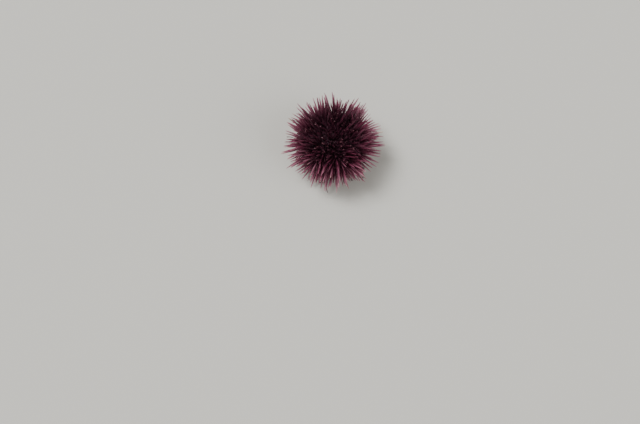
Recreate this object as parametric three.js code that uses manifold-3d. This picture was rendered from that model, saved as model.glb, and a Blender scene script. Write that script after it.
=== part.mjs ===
// A purple sea urchin at life size, resting mouth down on its spines, in millimetres with +Z up.
// The round body (the test) is parted into its five ambulacra, which carry the tube feet, and five
// interambulacra. The crown of plates at the top and the mouth with its gills below are pieces of their own.
import * as THREE from "three";
import { mergeVertices } from "three/addons/utils/BufferGeometryUtils.js";
import Module from "manifold-3d";

const wasm = await Module();
wasm.setup();
const { Manifold } = wasm;

// Driving sizes of the test
const TEST_RADIUS = 25;
const CROWN_RISE = 14.5; // widest ring to the top
const KEEL_DROP = 11.5; // widest ring to the underside
const KEEL_SQUARENESS = 2.6; // 2 is an ellipse, more is flatter below
const LIFT = 7.5; // underside over the floor
const RING_Z = LIFT + KEEL_DROP;
const APICAL_RADIUS = 5.6;
const PERISTOME_RADIUS = 9.6;
const SEAM = 0.3; // gap between touching pieces

// Division round the axis
const RAYS = 5;
const RAY_TURN = (2 * Math.PI) / RAYS;
const AMBULACRUM_HALF = THREE.MathUtils.degToRad(15);
const INTER_HALF = RAY_TURN / 2 - AMBULACRUM_HALF;
const FIRST_RAY = Math.PI / 2;
const LATHE_SEGMENTS = 50;

// Sizes of the crown plates, the mouth and the gills
const PLATE_THICKNESS = 1.3;
const PLATE_PROUD = 0.25;
const PERIPROCT_RADIUS = 2.3;
const OCULAR_INNER_RADIUS = 4.1;
const OCULAR_HALF = THREE.MathUtils.degToRad(14);
const MEMBRANE_THICKNESS = 1.2;
const MEMBRANE_PROUD = 0.2;
const MEMBRANE_SAG = 0.7;
const MEMBRANE_SEGMENTS = 40;
const LIP_BULGE = 0.8;
const LIP_RADIUS = 2.5;
const TOOTH_DROP = 1.9;
const TOOTH_WIDTH = 1.5;
const TOOTH_TIP_WIDTH = 0.4;
const TOOTH_ROOTED = 1.4; // hidden in the lips
const TOOTH_PLACE = 0.95; // from the axis
const TOOTH_SLANT = 0.35; // inward, towards the tips of the others
const GILL_RADIUS = 8.4;
const GILL_DROP = 3.2;

// Spines: their reach over the test from the crown down to the underside, and their thickness
const REACH_AT_CROWN = 12.5;
const REACH_AT_RING = 18.5;
const REACH_BELOW = 7.6;
const SPINE_BASE = 1.0;
const SPINE_SIDES = 4;
const ROOT_DEPTH = 1.3;
const ROOT_CLEAR = 2.1; // between the middles of neighbouring roots
const EDGE_CLEAR = 1.6; // from a root to the side of its zone
const ROW_PITCH = 3.05;
const FIRST_ROW = 0.4; // rows from the crown's edge
const ROW_SCATTER = 0.16; // in rows
const SIDE_SCATTER = 0.5;
const LAST_ROOT = 1.2; // from the peristome's edge
const LEAST_SHARE = 0.9; // of the full reach
const SHARE_SPREAD = 0.18;
const YOUNG_SHARE = 0.07; // of the spines
const YOUNG_REACH = 0.6; // of a grown one's
const LEAST_THICKNESS = 0.4; // of the full one, squared
const FOOT_SHARE = 0.55; // of the spines that could touch the floor
const STAND_PAST = 1.4; // how far a standing spine would run on, as a share of its reach to the floor
const LEAST_SLACK = 0.8; // of the way to the floor, for a spine that stops above it
const SLACK_SPREAD = 0.13;

// Leaning: the tufts round the test, finer waves among them, the splay at the crown and the tuck below
const TUFTS = 7;
const TUFT_LEAN = 0.2;
const WAVES = 12;
const WAVE_LEAN = 0.07;
const RIPPLES = 5;
const RIPPLE_LEAN = 0.07;
const CROWN_SPLAY = 0.1;
const UNDER_TUCK = 0.16;
const SCATTER = 0.1; // of single spines, out of line

// Columns of tubercles across a zone: place as a share of its half width, shift in rows, share of the reach
const INTER_COLUMNS = [
  { at: 0.42, shift: 0.5, share: 1 },
  { at: -0.42, shift: 0, share: 1 },
  { at: 0, shift: 0.25, share: 0.84 },
  { at: 0.78, shift: 0, share: 0.88 },
  { at: -0.78, shift: 0.5, share: 0.88 },
];
const AMBULACRUM_COLUMNS = [
  { at: 0.27, shift: 0, share: 0.96 },
  { at: -0.27, shift: 0.5, share: 0.96 },
  { at: 0.62, shift: 0.6, share: 0.8 },
  { at: -0.62, shift: 0.1, share: 0.8 },
];

// Tube feet, in two rows near the sides of each ambulacrum
const TUBE_RADIUS = 0.36;
const TUBE_SIDES = 5;
const TUBE_DEPTH = 0.9;
const TUBE_NECK = 0.8; // from the sucker to where the tube starts to flare
const SUCKER_RADIUS = 0.85;
const TUBE_PITCH = 6.4;
const FIRST_TUBE = 0.55; // pitches from the crown's edge
const TUBE_STAGGER = 0.25; // in pitches, between the two sides
const TUBE_SCATTER = 0.3;
const LAST_TUBE = 1.5; // from the peristome's edge
const TUBE_CLEAR = 0.72; // of the clearance of spines
const TUBE_EDGE = 1.0; // from the side of the ambulacrum
const TUBE_STRETCH = 19; // longest that one reaches out for the floor
const TUBE_PAST = 2; // how far one would run on through the floor
const TUBE_SHARE = 0.55; // least share of the reach of spines
const TUBE_SHARE_SPREAD = 0.25;
const TUBE_HANG = 0.6; // lean downward below the widest ring
const TUBE_DROOP = 0.1; // and above it

// Small spines on the plates of the crown: distance from the axis, turn from the plate's middle and reach
const GENITAL_SPINES = [
  { r: 4.75, turn: 0, reach: 10.5 },
  { r: 3.45, turn: 0.33, reach: 8 },
  { r: 3.45, turn: -0.33, reach: 7 },
];
const OCULAR_SPINE = { r: 5.0, turn: 0, reach: 9 };
const PLATE_SPINE_BASE = 0.5;
const PLATE_SPINE_SPLAY = 0.15;

// How far neighbours keep apart, and how many rounds of easing apart they get
const QUILL_CLEAR = 0.4;
const EASING_ROUNDS = 60;
const NEIGHBOUR_REACH = 14;
const EASE_SHARE = 0.4; // of an overlap, taken up in one round by each
const EASE_ARM = 4; // least distance from the root that a push works at
const SEED = 20261;

// A closed mesh as a solid, with its shared vertices merged.
function solid(geometry) {
  geometry.deleteAttribute("normal");
  geometry.deleteAttribute("uv");
  const merged = mergeVertices(geometry, 1e-4);
  return new Manifold(
    new wasm.Mesh({
      numProp: 3,
      vertProperties: merged.attributes.position.array,
      triVerts: new Uint32Array(merged.index.array),
    }),
  );
}

// The largest closed surface of a solid, as a three.js geometry.
function geometryOf(made) {
  const [largest] = made.decompose().sort((a, b) => b.volume() - a.volume());
  const mesh = largest.getMesh();
  const geometry = new THREE.BufferGeometry();
  geometry.setAttribute("position", new THREE.BufferAttribute(mesh.vertProperties, 3));
  geometry.setIndex(new THREE.BufferAttribute(mesh.triVerts, 1));
  geometry.computeVertexNormals();
  return geometry;
}

// A solid of revolution about Z. Its profile runs up from axis to axis as [radius, z] pairs.
function turned(profile, segments = LATHE_SEGMENTS) {
  const points = profile.map(([r, z]) => new THREE.Vector2(r, z));
  return solid(new THREE.LatheGeometry(points, segments).rotateX(Math.PI / 2));
}

// A prism standing on an outline of [x, y] pairs.
function prism(outline, low, high) {
  const shape = new THREE.Shape(outline.map(([x, y]) => new THREE.Vector2(x, y)));
  const made = new THREE.ExtrudeGeometry(shape, { depth: high - low, bevelEnabled: false });
  return solid(made.translate(0, 0, low));
}

// Cuts away what lies outside the sector of half-angle half round the azimuth middle, less half a seam.
function sector(made, middle, half) {
  const left = middle + half;
  const right = middle - half;
  return made
    .trimByPlane([Math.sin(left), -Math.cos(left), 0], SEAM / 2)
    .trimByPlane([-Math.sin(right), Math.cos(right), 0], SEAM / 2);
}

// The meridian of the test: angle is 90 degrees at the top, 0 at the widest ring and -90 below.
function meridian(angle) {
  const c = Math.max(0, Math.cos(angle));
  const s = Math.abs(Math.sin(angle));
  if (angle >= 0) return { r: TEST_RADIUS * c, z: RING_Z + CROWN_RISE * s };
  const power = 2 / KEEL_SQUARENESS;
  return { r: TEST_RADIUS * c ** power, z: RING_Z - KEEL_DROP * s ** power };
}

// The angle on the meridian where its radius is r, above or below the widest ring.
function angleAtRadius(r, above) {
  if (above) return Math.acos(r / TEST_RADIUS);
  return -Math.acos((r / TEST_RADIUS) ** (KEEL_SQUARENESS / 2));
}

const TOP_ANGLE = angleAtRadius(APICAL_RADIUS, true);
const LOW_ANGLE = angleAtRadius(PERISTOME_RADIUS, false);
const TOP_Z = meridian(TOP_ANGLE).z;
const LOW_Z = meridian(LOW_ANGLE).z;
const CROWN_FLOOR_Z = TOP_Z - PLATE_THICKNESS - SEAM;
const MEMBRANE_ROOF_Z = LOW_Z + MEMBRANE_THICKNESS + SEAM;
const UNDERSIDE_Z = LOW_Z - MEMBRANE_PROUD;

// The meridian walked from the crown to the peristome: arc length and angle at each step.
const WALK_STEPS = 800;
const WALK = [{ s: 0, angle: TOP_ANGLE }];
for (let i = 1; i <= WALK_STEPS; i++) {
  const angle = THREE.MathUtils.lerp(TOP_ANGLE, LOW_ANGLE, i / WALK_STEPS);
  const a = meridian(WALK[i - 1].angle);
  const b = meridian(angle);
  WALK.push({ s: WALK[i - 1].s + Math.hypot(b.r - a.r, b.z - a.z), angle });
}
const MERIDIAN_LENGTH = WALK[WALK_STEPS].s;

function angleAt(s) {
  const i = Math.max(1, WALK.findIndex((step) => step.s >= s));
  const a = WALK[i - 1];
  const b = WALK[i];
  return THREE.MathUtils.lerp(a.angle, b.angle, (s - a.s) / (b.s - a.s));
}

// A point of the test with its outward normal, its tangent towards rising azimuth and its tangent downwards.
function skinAt(angle, azimuth) {
  const here = meridian(angle);
  const next = meridian(angle - 1e-3);
  const run = new THREE.Vector2(next.r - here.r, next.z - here.z).normalize();
  const c = Math.cos(azimuth);
  const s = Math.sin(azimuth);
  return {
    point: new THREE.Vector3(here.r * c, here.r * s, here.z),
    normal: new THREE.Vector3(-run.y * c, -run.y * s, run.x),
    east: new THREE.Vector3(-s, c, 0),
    down: new THREE.Vector3(run.x * c, run.x * s, run.y),
  };
}

// Reach of a full spine at an angle of the meridian: longest at the widest ring, and shorter to both ends.
function reachAt(angle) {
  const share = angle / (angle >= 0 ? TOP_ANGLE : LOW_ANGLE);
  const end = angle >= 0 ? REACH_AT_CROWN : REACH_BELOW;
  return THREE.MathUtils.lerp(REACH_AT_RING, end, share ** (angle >= 0 ? 2.6 : 1.5));
}

// How neighbouring spines lean together, so that they stand in loose tufts with partings between.
// The parting at azimuth 180 degrees is the one that the urchin shows on its left.
function leanAt(angle, azimuth) {
  const crown = Math.max(0, angle / TOP_ANGLE);
  const below = Math.max(0, angle / LOW_ANGLE);
  const tuft = TUFT_LEAN * Math.sin(TUFTS * azimuth + Math.PI);
  const wave = WAVE_LEAN * Math.sin(WAVES * azimuth - 4 * angle + 2);
  const ripple = RIPPLE_LEAN * Math.sin(RIPPLES * azimuth + 4 * angle + 1.3);
  return { east: tuft + wave, down: ripple + CROWN_SPLAY * crown - UNDER_TUCK * below };
}

// A stream of numbers from 0 to 1 that is the same each time.
function seeded(seed) {
  let state = seed >>> 0;
  return () => {
    state = (state + 0x6d2b79f5) >>> 0;
    let t = Math.imul(state ^ (state >>> 15), state | 1);
    t ^= t + Math.imul(t ^ (t >>> 7), t | 61);
    return ((t ^ (t >>> 14)) >>> 0) / 4294967296;
  };
}
const draw = seeded(SEED);

const rayAzimuth = (k) => FIRST_RAY + k * RAY_TURN;
const interAzimuth = (k) => rayAzimuth(k) + RAY_TURN / 2;
const ZONES = [];
for (let k = 0; k < RAYS; k++) {
  const ambulacrum = { half: AMBULACRUM_HALF, columns: AMBULACRUM_COLUMNS, tubes: true };
  ZONES.push({ node: `ambulacrum_${k + 1}`, middle: rayAzimuth(k), ...ambulacrum });
  const inter = { half: INTER_HALF, columns: INTER_COLUMNS, tubes: false };
  ZONES.push({ node: `interambulacrum_${k + 1}`, middle: interAzimuth(k), ...inter });
}

// Spines and tube feet: where each is rooted, its direction, length and thickness.
const quills = [];

function rootIsFree(point, clear) {
  return quills.every((other) => other.root.distanceTo(point) > clear);
}

function leaning(skin, east, down) {
  return skin.normal.clone().addScaledVector(skin.east, east).addScaledVector(skin.down, down).normalize();
}

function plantSpine(zone, column, row) {
  const [a, b, c, d, e, f] = Array.from({ length: 6 }, draw);
  const s = (row + FIRST_ROW + column.shift + ROW_SCATTER * (a - 0.5)) * ROW_PITCH;
  if (s > MERIDIAN_LENGTH - LAST_ROOT) return;
  const angle = angleAt(s);
  const { r } = meridian(angle);
  const halfWidth = r * zone.half;
  const x = column.at * halfWidth + SIDE_SCATTER * (b - 0.5);
  if (halfWidth - Math.abs(x) < EDGE_CLEAR) return;
  const azimuth = zone.middle + x / r;
  const skin = skinAt(angle, azimuth);
  if (!rootIsFree(skin.point, ROOT_CLEAR)) return;
  const lean = leanAt(angle, azimuth);
  const east = lean.east + SCATTER * (c + d - 1);
  const down = lean.down + SCATTER * (d - c);
  const young = e < YOUNG_SHARE ? YOUNG_REACH : 1;
  const length = reachAt(angle) * column.share * (LEAST_SHARE + SHARE_SPREAD * e) * young;
  const thickness = Math.sqrt(Math.max(LEAST_THICKNESS, length / REACH_AT_RING));
  quills.push({
    node: zone.node,
    kind: "spine",
    root: skin.point,
    direction: leaning(skin, east, down),
    twist: Math.PI * a,
    length,
    base: SPINE_BASE * thickness,
    tip: 0,
    stands: f < FOOT_SHARE,
    slack: LEAST_SLACK + SLACK_SPREAD * (f - FOOT_SHARE) / (1 - FOOT_SHARE),
  });
}

function plantTube(zone, side, row) {
  const [a, b, c] = Array.from({ length: 3 }, draw);
  const s = (row + FIRST_TUBE + TUBE_STAGGER * side + TUBE_SCATTER * (a - 0.5)) * TUBE_PITCH;
  if (s > MERIDIAN_LENGTH - LAST_TUBE) return;
  const angle = angleAt(s);
  const { r } = meridian(angle);
  const x = side * (r * zone.half - TUBE_EDGE);
  if (r * zone.half < 2 * TUBE_EDGE) return;
  const azimuth = zone.middle + x / r;
  const skin = skinAt(angle, azimuth);
  if (!rootIsFree(skin.point, ROOT_CLEAR * TUBE_CLEAR)) return;
  const east = leanAt(angle, azimuth).east + TUBE_SCATTER * (b - 0.5);
  const direction = leaning(skin, east, angle < 0 ? TUBE_HANG : TUBE_DROOP);
  const toFloor = direction.z < 0 ? -skin.point.z / direction.z : Infinity;
  const swaying = reachAt(angle) * (TUBE_SHARE + TUBE_SHARE_SPREAD * c);
  quills.push({
    node: zone.node,
    kind: "tube",
    root: skin.point,
    direction,
    length: toFloor < TUBE_STRETCH ? toFloor + TUBE_PAST : swaying,
    base: TUBE_RADIUS,
    tip: SUCKER_RADIUS,
  });
}

function plantPlateSpine(node, middle, { r, turn, reach }) {
  const [a, b, c] = Array.from({ length: 3 }, draw);
  const skin = skinAt(angleAtRadius(r, true), middle + turn);
  quills.push({
    node,
    kind: "spine",
    root: skin.point,
    direction: leaning(skin, SCATTER * (b - 0.5), PLATE_SPINE_SPLAY + SCATTER * (c - 0.5)),
    twist: Math.PI * a,
    length: reach,
    base: PLATE_SPINE_BASE,
    tip: 0,
  });
}

const genitalName = (k) => (k === 0 ? "madreporite" : `genital_plate_${k + 1}`);
for (let k = 0; k < RAYS; k++) {
  const borne = k === 0 ? GENITAL_SPINES.slice(0, 1) : GENITAL_SPINES;
  for (const spine of borne) plantPlateSpine(genitalName(k), interAzimuth(k), spine);
  plantPlateSpine(`ocular_plate_${k + 1}`, rayAzimuth(k), OCULAR_SPINE);
}

const SPINE_ROWS = Math.ceil(MERIDIAN_LENGTH / ROW_PITCH);
const TUBE_ROWS = Math.ceil(MERIDIAN_LENGTH / TUBE_PITCH);
for (const zone of ZONES)
  for (const column of zone.columns)
    for (let row = 0; row < SPINE_ROWS; row++) plantSpine(zone, column, row);
for (const zone of ZONES.filter((z) => z.tubes))
  for (const side of [-1, 1]) for (let row = 0; row < TUBE_ROWS; row++) plantTube(zone, side, row);

// Length of a quill down to the floor, or its own length if it ends above.
function lengthToFloor(quill) {
  const fall = -quill.direction.z;
  return fall > 0 ? Math.min(quill.length, quill.root.z / fall) : quill.length;
}

// Closest approach of two quills: how far along each it is, and the way from the first to the second.
function closest(p, q) {
  const a = lengthToFloor(p);
  const b = lengthToFloor(q);
  const between = p.root.clone().sub(q.root);
  const dots = p.direction.dot(q.direction);
  const pd = p.direction.dot(between);
  const qd = q.direction.dot(between);
  const spread = Math.max(1e-9, 1 - dots * dots);
  let t = THREE.MathUtils.clamp((dots * qd - pd) / spread, 0, a);
  const u = THREE.MathUtils.clamp(dots * t + qd, 0, b);
  t = THREE.MathUtils.clamp(dots * u - pd, 0, a);
  const way = q.root.clone().addScaledVector(q.direction, u);
  way.sub(p.root).addScaledVector(p.direction, -t);
  const thick = (quill, along) => THREE.MathUtils.lerp(quill.base, quill.tip, along / quill.length);
  return { t, u, way, short: thick(p, t) + thick(q, u) + QUILL_CLEAR - way.length() };
}

// Eases quills that come too close apart, all at once in each round.
const neighbours = [];
for (let i = 0; i < quills.length; i++)
  for (let j = i + 1; j < quills.length; j++)
    if (quills[i].root.distanceTo(quills[j].root) < NEIGHBOUR_REACH) neighbours.push([quills[i], quills[j]]);
for (let round = 0; round < EASING_ROUNDS; round++) {
  for (const quill of quills) quill.push = new THREE.Vector3();
  for (const [p, q] of neighbours) {
    const { t, u, way, short } = closest(p, q);
    if (short <= 0) continue;
    way.normalize();
    p.push.addScaledVector(way, (-EASE_SHARE * short) / Math.max(t, EASE_ARM));
    q.push.addScaledVector(way, (EASE_SHARE * short) / Math.max(u, EASE_ARM));
  }
  for (const quill of quills) quill.direction.add(quill.push).normalize();
}

const urchin = new THREE.Group();

const FINISH = {
  test: { color: 0x5a2f4c, roughness: 0.6, metalness: 0 },
  ambulacrum: { color: 0x6d3a58, roughness: 0.6, metalness: 0 },
  plate: { color: 0x7b5166, roughness: 0.7, metalness: 0 },
  membrane: { color: 0x4b2a35, roughness: 0.5, metalness: 0 },
  tooth: { color: 0xe4dccb, roughness: 0.35, metalness: 0 },
  gill: { color: 0x6b3a45, roughness: 0.5, metalness: 0 },
};

function addPiece(name, made, finish) {
  const mesh = new THREE.Mesh(geometryOf(made), new THREE.MeshStandardMaterial(FINISH[finish]));
  mesh.name = name;
  urchin.add(mesh);
}

const PROFILE_ROWS = 14;

// The test as one solid of revolution, with the crown's seat on top and the peristome's below.
function testBody() {
  const profile = [
    [0, MEMBRANE_ROOF_Z],
    [PERISTOME_RADIUS, MEMBRANE_ROOF_Z],
  ];
  for (let i = 0; i <= PROFILE_ROWS; i++) {
    const { r, z } = meridian(angleAt((1 - i / PROFILE_ROWS) * MERIDIAN_LENGTH));
    profile.push([r, z]);
  }
  profile.push([APICAL_RADIUS, CROWN_FLOOR_Z], [0, CROWN_FLOOR_Z]);
  return turned(profile);
}

// A spine is a slim pyramid with its root sunk in the test. One that reaches the floor stands on it, and is
// cut flat there, or stops a little above it.
function spineSolid(quill) {
  const free = lengthToFloor(quill);
  let length = quill.length;
  if (free < quill.length) length = quill.stands ? Math.max(length, free * STAND_PAST) : free * quill.slack;
  const height = length + ROOT_DEPTH;
  const spine = new THREE.ConeGeometry(quill.base * (height / length), height, SPINE_SIDES);
  spine.rotateY(quill.twist).translate(0, height / 2 - ROOT_DEPTH, 0);
  const turn = new THREE.Quaternion().setFromUnitVectors(new THREE.Vector3(0, 1, 0), quill.direction);
  return solid(spine.applyQuaternion(turn).translate(...quill.root));
}

// A ring of points round an axis, which starts on the given side of it.
function ring(centre, axis, side, radius) {
  const u = side.clone().addScaledVector(axis, -axis.dot(side)).normalize();
  const v = axis.clone().cross(u);
  return Array.from({ length: TUBE_SIDES }, (_, i) => {
    const turn = (2 * Math.PI * i) / TUBE_SIDES;
    const point = centre.clone().addScaledVector(u, radius * Math.cos(turn));
    return point.addScaledVector(v, radius * Math.sin(turn));
  });
}

// A closed skin from a first point over rings to a last point.
function loft(first, rings, last) {
  const points = [first, ...rings.flat(), last];
  const top = 1 + (rings.length - 1) * TUBE_SIDES;
  const index = [];
  for (let i = 0; i < TUBE_SIDES; i++) {
    const j = (i + 1) % TUBE_SIDES;
    index.push(0, 1 + j, 1 + i, top + i, top + j, points.length - 1);
    for (let a = 1; a < top; a += TUBE_SIDES) {
      const b = a + TUBE_SIDES;
      index.push(a + i, a + j, b + i, a + j, b + j, b + i);
    }
  }
  const geometry = new THREE.BufferGeometry().setFromPoints(points);
  return solid(geometry.setIndex(index));
}

// A tube foot flares to its sucker, which lies flat where it meets the floor.
function tubeSolid(quill) {
  const length = lengthToFloor(quill);
  const along = (distance) => quill.root.clone().addScaledVector(quill.direction, distance);
  const side = new THREE.Vector3(-quill.root.y, quill.root.x, 0).normalize();
  const axis = length < quill.length ? new THREE.Vector3(0, 0, -1) : quill.direction;
  const end = along(length);
  const neck = end.clone().addScaledVector(axis, -TUBE_NECK);
  const rings = [
    ring(along(TUBE_DEPTH), quill.direction, side, TUBE_RADIUS),
    ring(neck, axis, side, TUBE_RADIUS),
    ring(end, axis, side, SUCKER_RADIUS),
  ];
  return loft(along(-TUBE_DEPTH), rings, end);
}

function quillsOf(node) {
  const mine = quills.filter((quill) => quill.node === node);
  return mine.map((quill) => (quill.kind === "tube" ? tubeSolid(quill) : spineSolid(quill)));
}

function addZones() {
  const body = testBody();
  for (const { node, middle, half, tubes } of ZONES) {
    const zone = Manifold.union([sector(body, middle, half), ...quillsOf(node)]);
    addPiece(node, zone.trimByPlane([0, 0, 1], 0), tubes ? "ambulacrum" : "test");
  }
}

const CROWN_STEPS = 6;
const CROWN_SEGMENTS = 30;
const CORNER_TRIM = 0.04; // taken off a plate's corners, as a turn round the axis
const PAST_EDGE = 1; // how far an outline runs on, to be cut to the crown's round edge

// The layer of the dome that the crown plates are cut from.
function crownLayer() {
  const outer = APICAL_RADIUS - SEAM;
  const profile = [
    [0, CROWN_FLOOR_Z + SEAM],
    [outer, CROWN_FLOOR_Z + SEAM],
  ];
  for (let i = 0; i <= CROWN_STEPS; i++) {
    const r = outer * (1 - i / CROWN_STEPS);
    profile.push([r, meridian(angleAtRadius(r, true)).z + PLATE_PROUD]);
  }
  return turned(profile, CROWN_SEGMENTS);
}

const polar = (r, a) => [r * Math.cos(a), r * Math.sin(a)];

// Outline of the genital plate at azimuth middle: a shield with its point outward, cut at the oculars.
function genitalOutline(middle) {
  const inner = PERIPROCT_RADIUS + SEAM;
  const half = RAY_TURN / 2 - SEAM / 2 / OCULAR_INNER_RADIUS;
  const shoulder = RAY_TURN / 2 - OCULAR_HALF - SEAM / APICAL_RADIUS;
  const neck = OCULAR_INNER_RADIUS - SEAM;
  return [
    polar(inner, middle - half + CORNER_TRIM),
    polar(neck, middle - half),
    polar(APICAL_RADIUS, middle - shoulder),
    polar(APICAL_RADIUS + PAST_EDGE, middle),
    polar(APICAL_RADIUS, middle + shoulder),
    polar(neck, middle + half),
    polar(inner, middle + half - CORNER_TRIM),
    polar(inner, middle),
  ];
}

function ocularOutline(middle) {
  return [
    polar(OCULAR_INNER_RADIUS, middle),
    polar(APICAL_RADIUS, middle - OCULAR_HALF + CORNER_TRIM),
    polar(APICAL_RADIUS + PAST_EDGE, middle),
    polar(APICAL_RADIUS, middle + OCULAR_HALF - CORNER_TRIM),
  ];
}

const ANUS_RADIUS = 0.5;
const ANUS_RISE = 0.75;
const DISC_SEGMENTS = 20;

function addCrown() {
  const layer = crownLayer();
  const top = RING_Z + CROWN_RISE;
  const cutPlate = (outline) => layer.intersect(prism(outline, CROWN_FLOOR_Z, top + 2 * PLATE_PROUD));
  for (let k = 0; k < RAYS; k++) {
    const genital = cutPlate(genitalOutline(interAzimuth(k)));
    addPiece(genitalName(k), Manifold.union([genital, ...quillsOf(genitalName(k))]), "plate");
    const ocular = cutPlate(ocularOutline(rayAzimuth(k)));
    const ocularName = `ocular_plate_${k + 1}`;
    addPiece(ocularName, Manifold.union([ocular, ...quillsOf(ocularName)]), "plate");
  }
  const disc = turned(
    [
      [0, CROWN_FLOOR_Z + SEAM],
      [PERIPROCT_RADIUS, CROWN_FLOOR_Z + SEAM],
      [PERIPROCT_RADIUS, top],
      [PERIPROCT_RADIUS / 2, top + 0.8 * ANUS_RISE],
      [ANUS_RADIUS, top + ANUS_RISE],
      [ANUS_RADIUS * 0.6, top + 0.3 * ANUS_RISE],
      [0, top + 0.15 * ANUS_RISE],
    ],
    DISC_SEGMENTS,
  );
  addPiece("periproct", disc, "plate");
}

// The membrane sags a little towards the mouth, and the lips bulge under it round the teeth.
function addMouth() {
  const outer = PERISTOME_RADIUS - SEAM;
  const inner = LIP_RADIUS + SEAM;
  const roof = MEMBRANE_ROOF_Z - SEAM;
  const membrane = turned(
    [
      [inner, UNDERSIDE_Z - MEMBRANE_SAG],
      [outer * 0.6, UNDERSIDE_Z - MEMBRANE_SAG * 0.7],
      [outer, UNDERSIDE_Z],
      [outer, roof],
      [inner, roof],
      [inner, UNDERSIDE_Z - MEMBRANE_SAG],
    ],
    MEMBRANE_SEGMENTS,
  );
  addPiece("peristome", membrane, "membrane");
  const lip = turned(
    [
      [0, UNDERSIDE_Z - LIP_BULGE / 2],
      [LIP_RADIUS * 0.6, UNDERSIDE_Z - LIP_BULGE],
      [LIP_RADIUS, UNDERSIDE_Z - LIP_BULGE * 0.6],
      [LIP_RADIUS, roof],
      [0, roof],
    ],
    DISC_SEGMENTS,
  );
  const teeth = [];
  for (let k = 0; k < RAYS; k++) {
    const height = TOOTH_DROP + TOOTH_ROOTED;
    const tooth = new THREE.CylinderGeometry(TOOTH_WIDTH / 2, TOOTH_TIP_WIDTH / 2, height, SPINE_SIDES);
    tooth.rotateX(Math.PI / 2).rotateY(TOOTH_SLANT);
    tooth.translate(TOOTH_PLACE, 0, UNDERSIDE_Z - TOOTH_DROP / 2);
    teeth.push(solid(tooth.rotateZ(interAzimuth(k))));
  }
  addPiece("mouth", Manifold.union([lip, ...teeth]), "tooth");
}

// A gill hangs from a small round pad as a tuft of fingers. Each has its place under the pad and its radius.
const GILL_SPLIT = THREE.MathUtils.degToRad(11); // in from the side of the interambulacrum
const GILL_FINGERS = [
  { out: 0, side: 0, radius: 0.55 },
  { out: 0.7, side: 0.35, radius: 0.4 },
  { out: -0.7, side: 0.35, radius: 0.4 },
  { out: 0.25, side: -0.6, radius: 0.4 },
  { out: -0.4, side: -0.55, radius: 0.35 },
];
const FINGER_TIP = 0.28;
const FINGER_SIDES = 5;
const PAD_RADIUS = 1.05;
const PAD_THICKNESS = 0.5;
const PAD_SIDES = 8;

function addGills() {
  const padZ = UNDERSIDE_Z - SEAM - PAD_THICKNESS / 2;
  for (let k = 0; k < RAYS; k++) {
    for (const side of [-1, 1]) {
      const azimuth = interAzimuth(k) + side * (INTER_HALF - GILL_SPLIT);
      const pieces = GILL_FINGERS.map((finger) => {
        const drop = GILL_DROP - Math.abs(finger.out);
        const made = new THREE.CylinderGeometry(finger.radius, FINGER_TIP, drop, FINGER_SIDES);
        made.rotateX(Math.PI / 2).translate(GILL_RADIUS + finger.out, finger.side, padZ - drop / 2);
        return solid(made.rotateZ(azimuth));
      });
      const pad = new THREE.CylinderGeometry(PAD_RADIUS, 0.9 * PAD_RADIUS, PAD_THICKNESS, PAD_SIDES);
      pieces.push(solid(pad.rotateX(Math.PI / 2).translate(GILL_RADIUS, 0, padZ).rotateZ(azimuth)));
      addPiece(`gill_${k + 1}${side < 0 ? "a" : "b"}`, Manifold.union(pieces), "gill");
    }
  }
}

addZones();
addCrown();
addMouth();
addGills();

// The origin is on the floor, under the middle of the whole urchin's box.
const middle = new THREE.Box3().setFromObject(urchin).getCenter(new THREE.Vector3());
urchin.position.set(-middle.x, -middle.y, 0);

export default urchin;
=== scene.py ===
import math

import bmesh
import bpy
import numpy as np
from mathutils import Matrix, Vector


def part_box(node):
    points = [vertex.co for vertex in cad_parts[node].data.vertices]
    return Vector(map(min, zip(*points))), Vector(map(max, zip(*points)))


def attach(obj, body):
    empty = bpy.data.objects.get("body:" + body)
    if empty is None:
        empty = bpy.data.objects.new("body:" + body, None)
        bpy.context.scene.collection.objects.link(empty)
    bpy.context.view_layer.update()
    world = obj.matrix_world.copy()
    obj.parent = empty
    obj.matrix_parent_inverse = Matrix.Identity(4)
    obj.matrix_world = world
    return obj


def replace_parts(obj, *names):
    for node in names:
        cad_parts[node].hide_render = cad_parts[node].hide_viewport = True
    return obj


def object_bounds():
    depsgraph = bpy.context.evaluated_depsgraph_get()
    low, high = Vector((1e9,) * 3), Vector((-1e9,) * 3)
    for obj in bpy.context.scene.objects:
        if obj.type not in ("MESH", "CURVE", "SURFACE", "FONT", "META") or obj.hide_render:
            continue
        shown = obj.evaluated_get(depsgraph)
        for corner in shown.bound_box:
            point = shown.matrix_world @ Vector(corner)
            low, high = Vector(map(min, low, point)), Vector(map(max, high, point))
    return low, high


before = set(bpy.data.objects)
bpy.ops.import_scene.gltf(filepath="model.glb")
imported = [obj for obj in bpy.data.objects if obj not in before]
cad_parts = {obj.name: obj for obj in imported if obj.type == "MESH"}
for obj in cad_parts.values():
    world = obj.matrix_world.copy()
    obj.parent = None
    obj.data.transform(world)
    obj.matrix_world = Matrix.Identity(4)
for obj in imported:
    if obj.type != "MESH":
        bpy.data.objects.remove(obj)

cad_low, cad_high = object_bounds()

# Camera
# The photograph looks steeply down on the urchin, which is small in the picture, above its middle and a
# little to the right. The urchin stays where it rests, and the camera turns to put it in that place.
PHOTO_WIDTH = 640
PHOTO_HEIGHT = 424
URCHIN_AT = (333, 141)
URCHIN_WIDTH = 105
LOOK_DOWN = math.radians(65)
LENS = 50
SENSOR = 36

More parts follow.
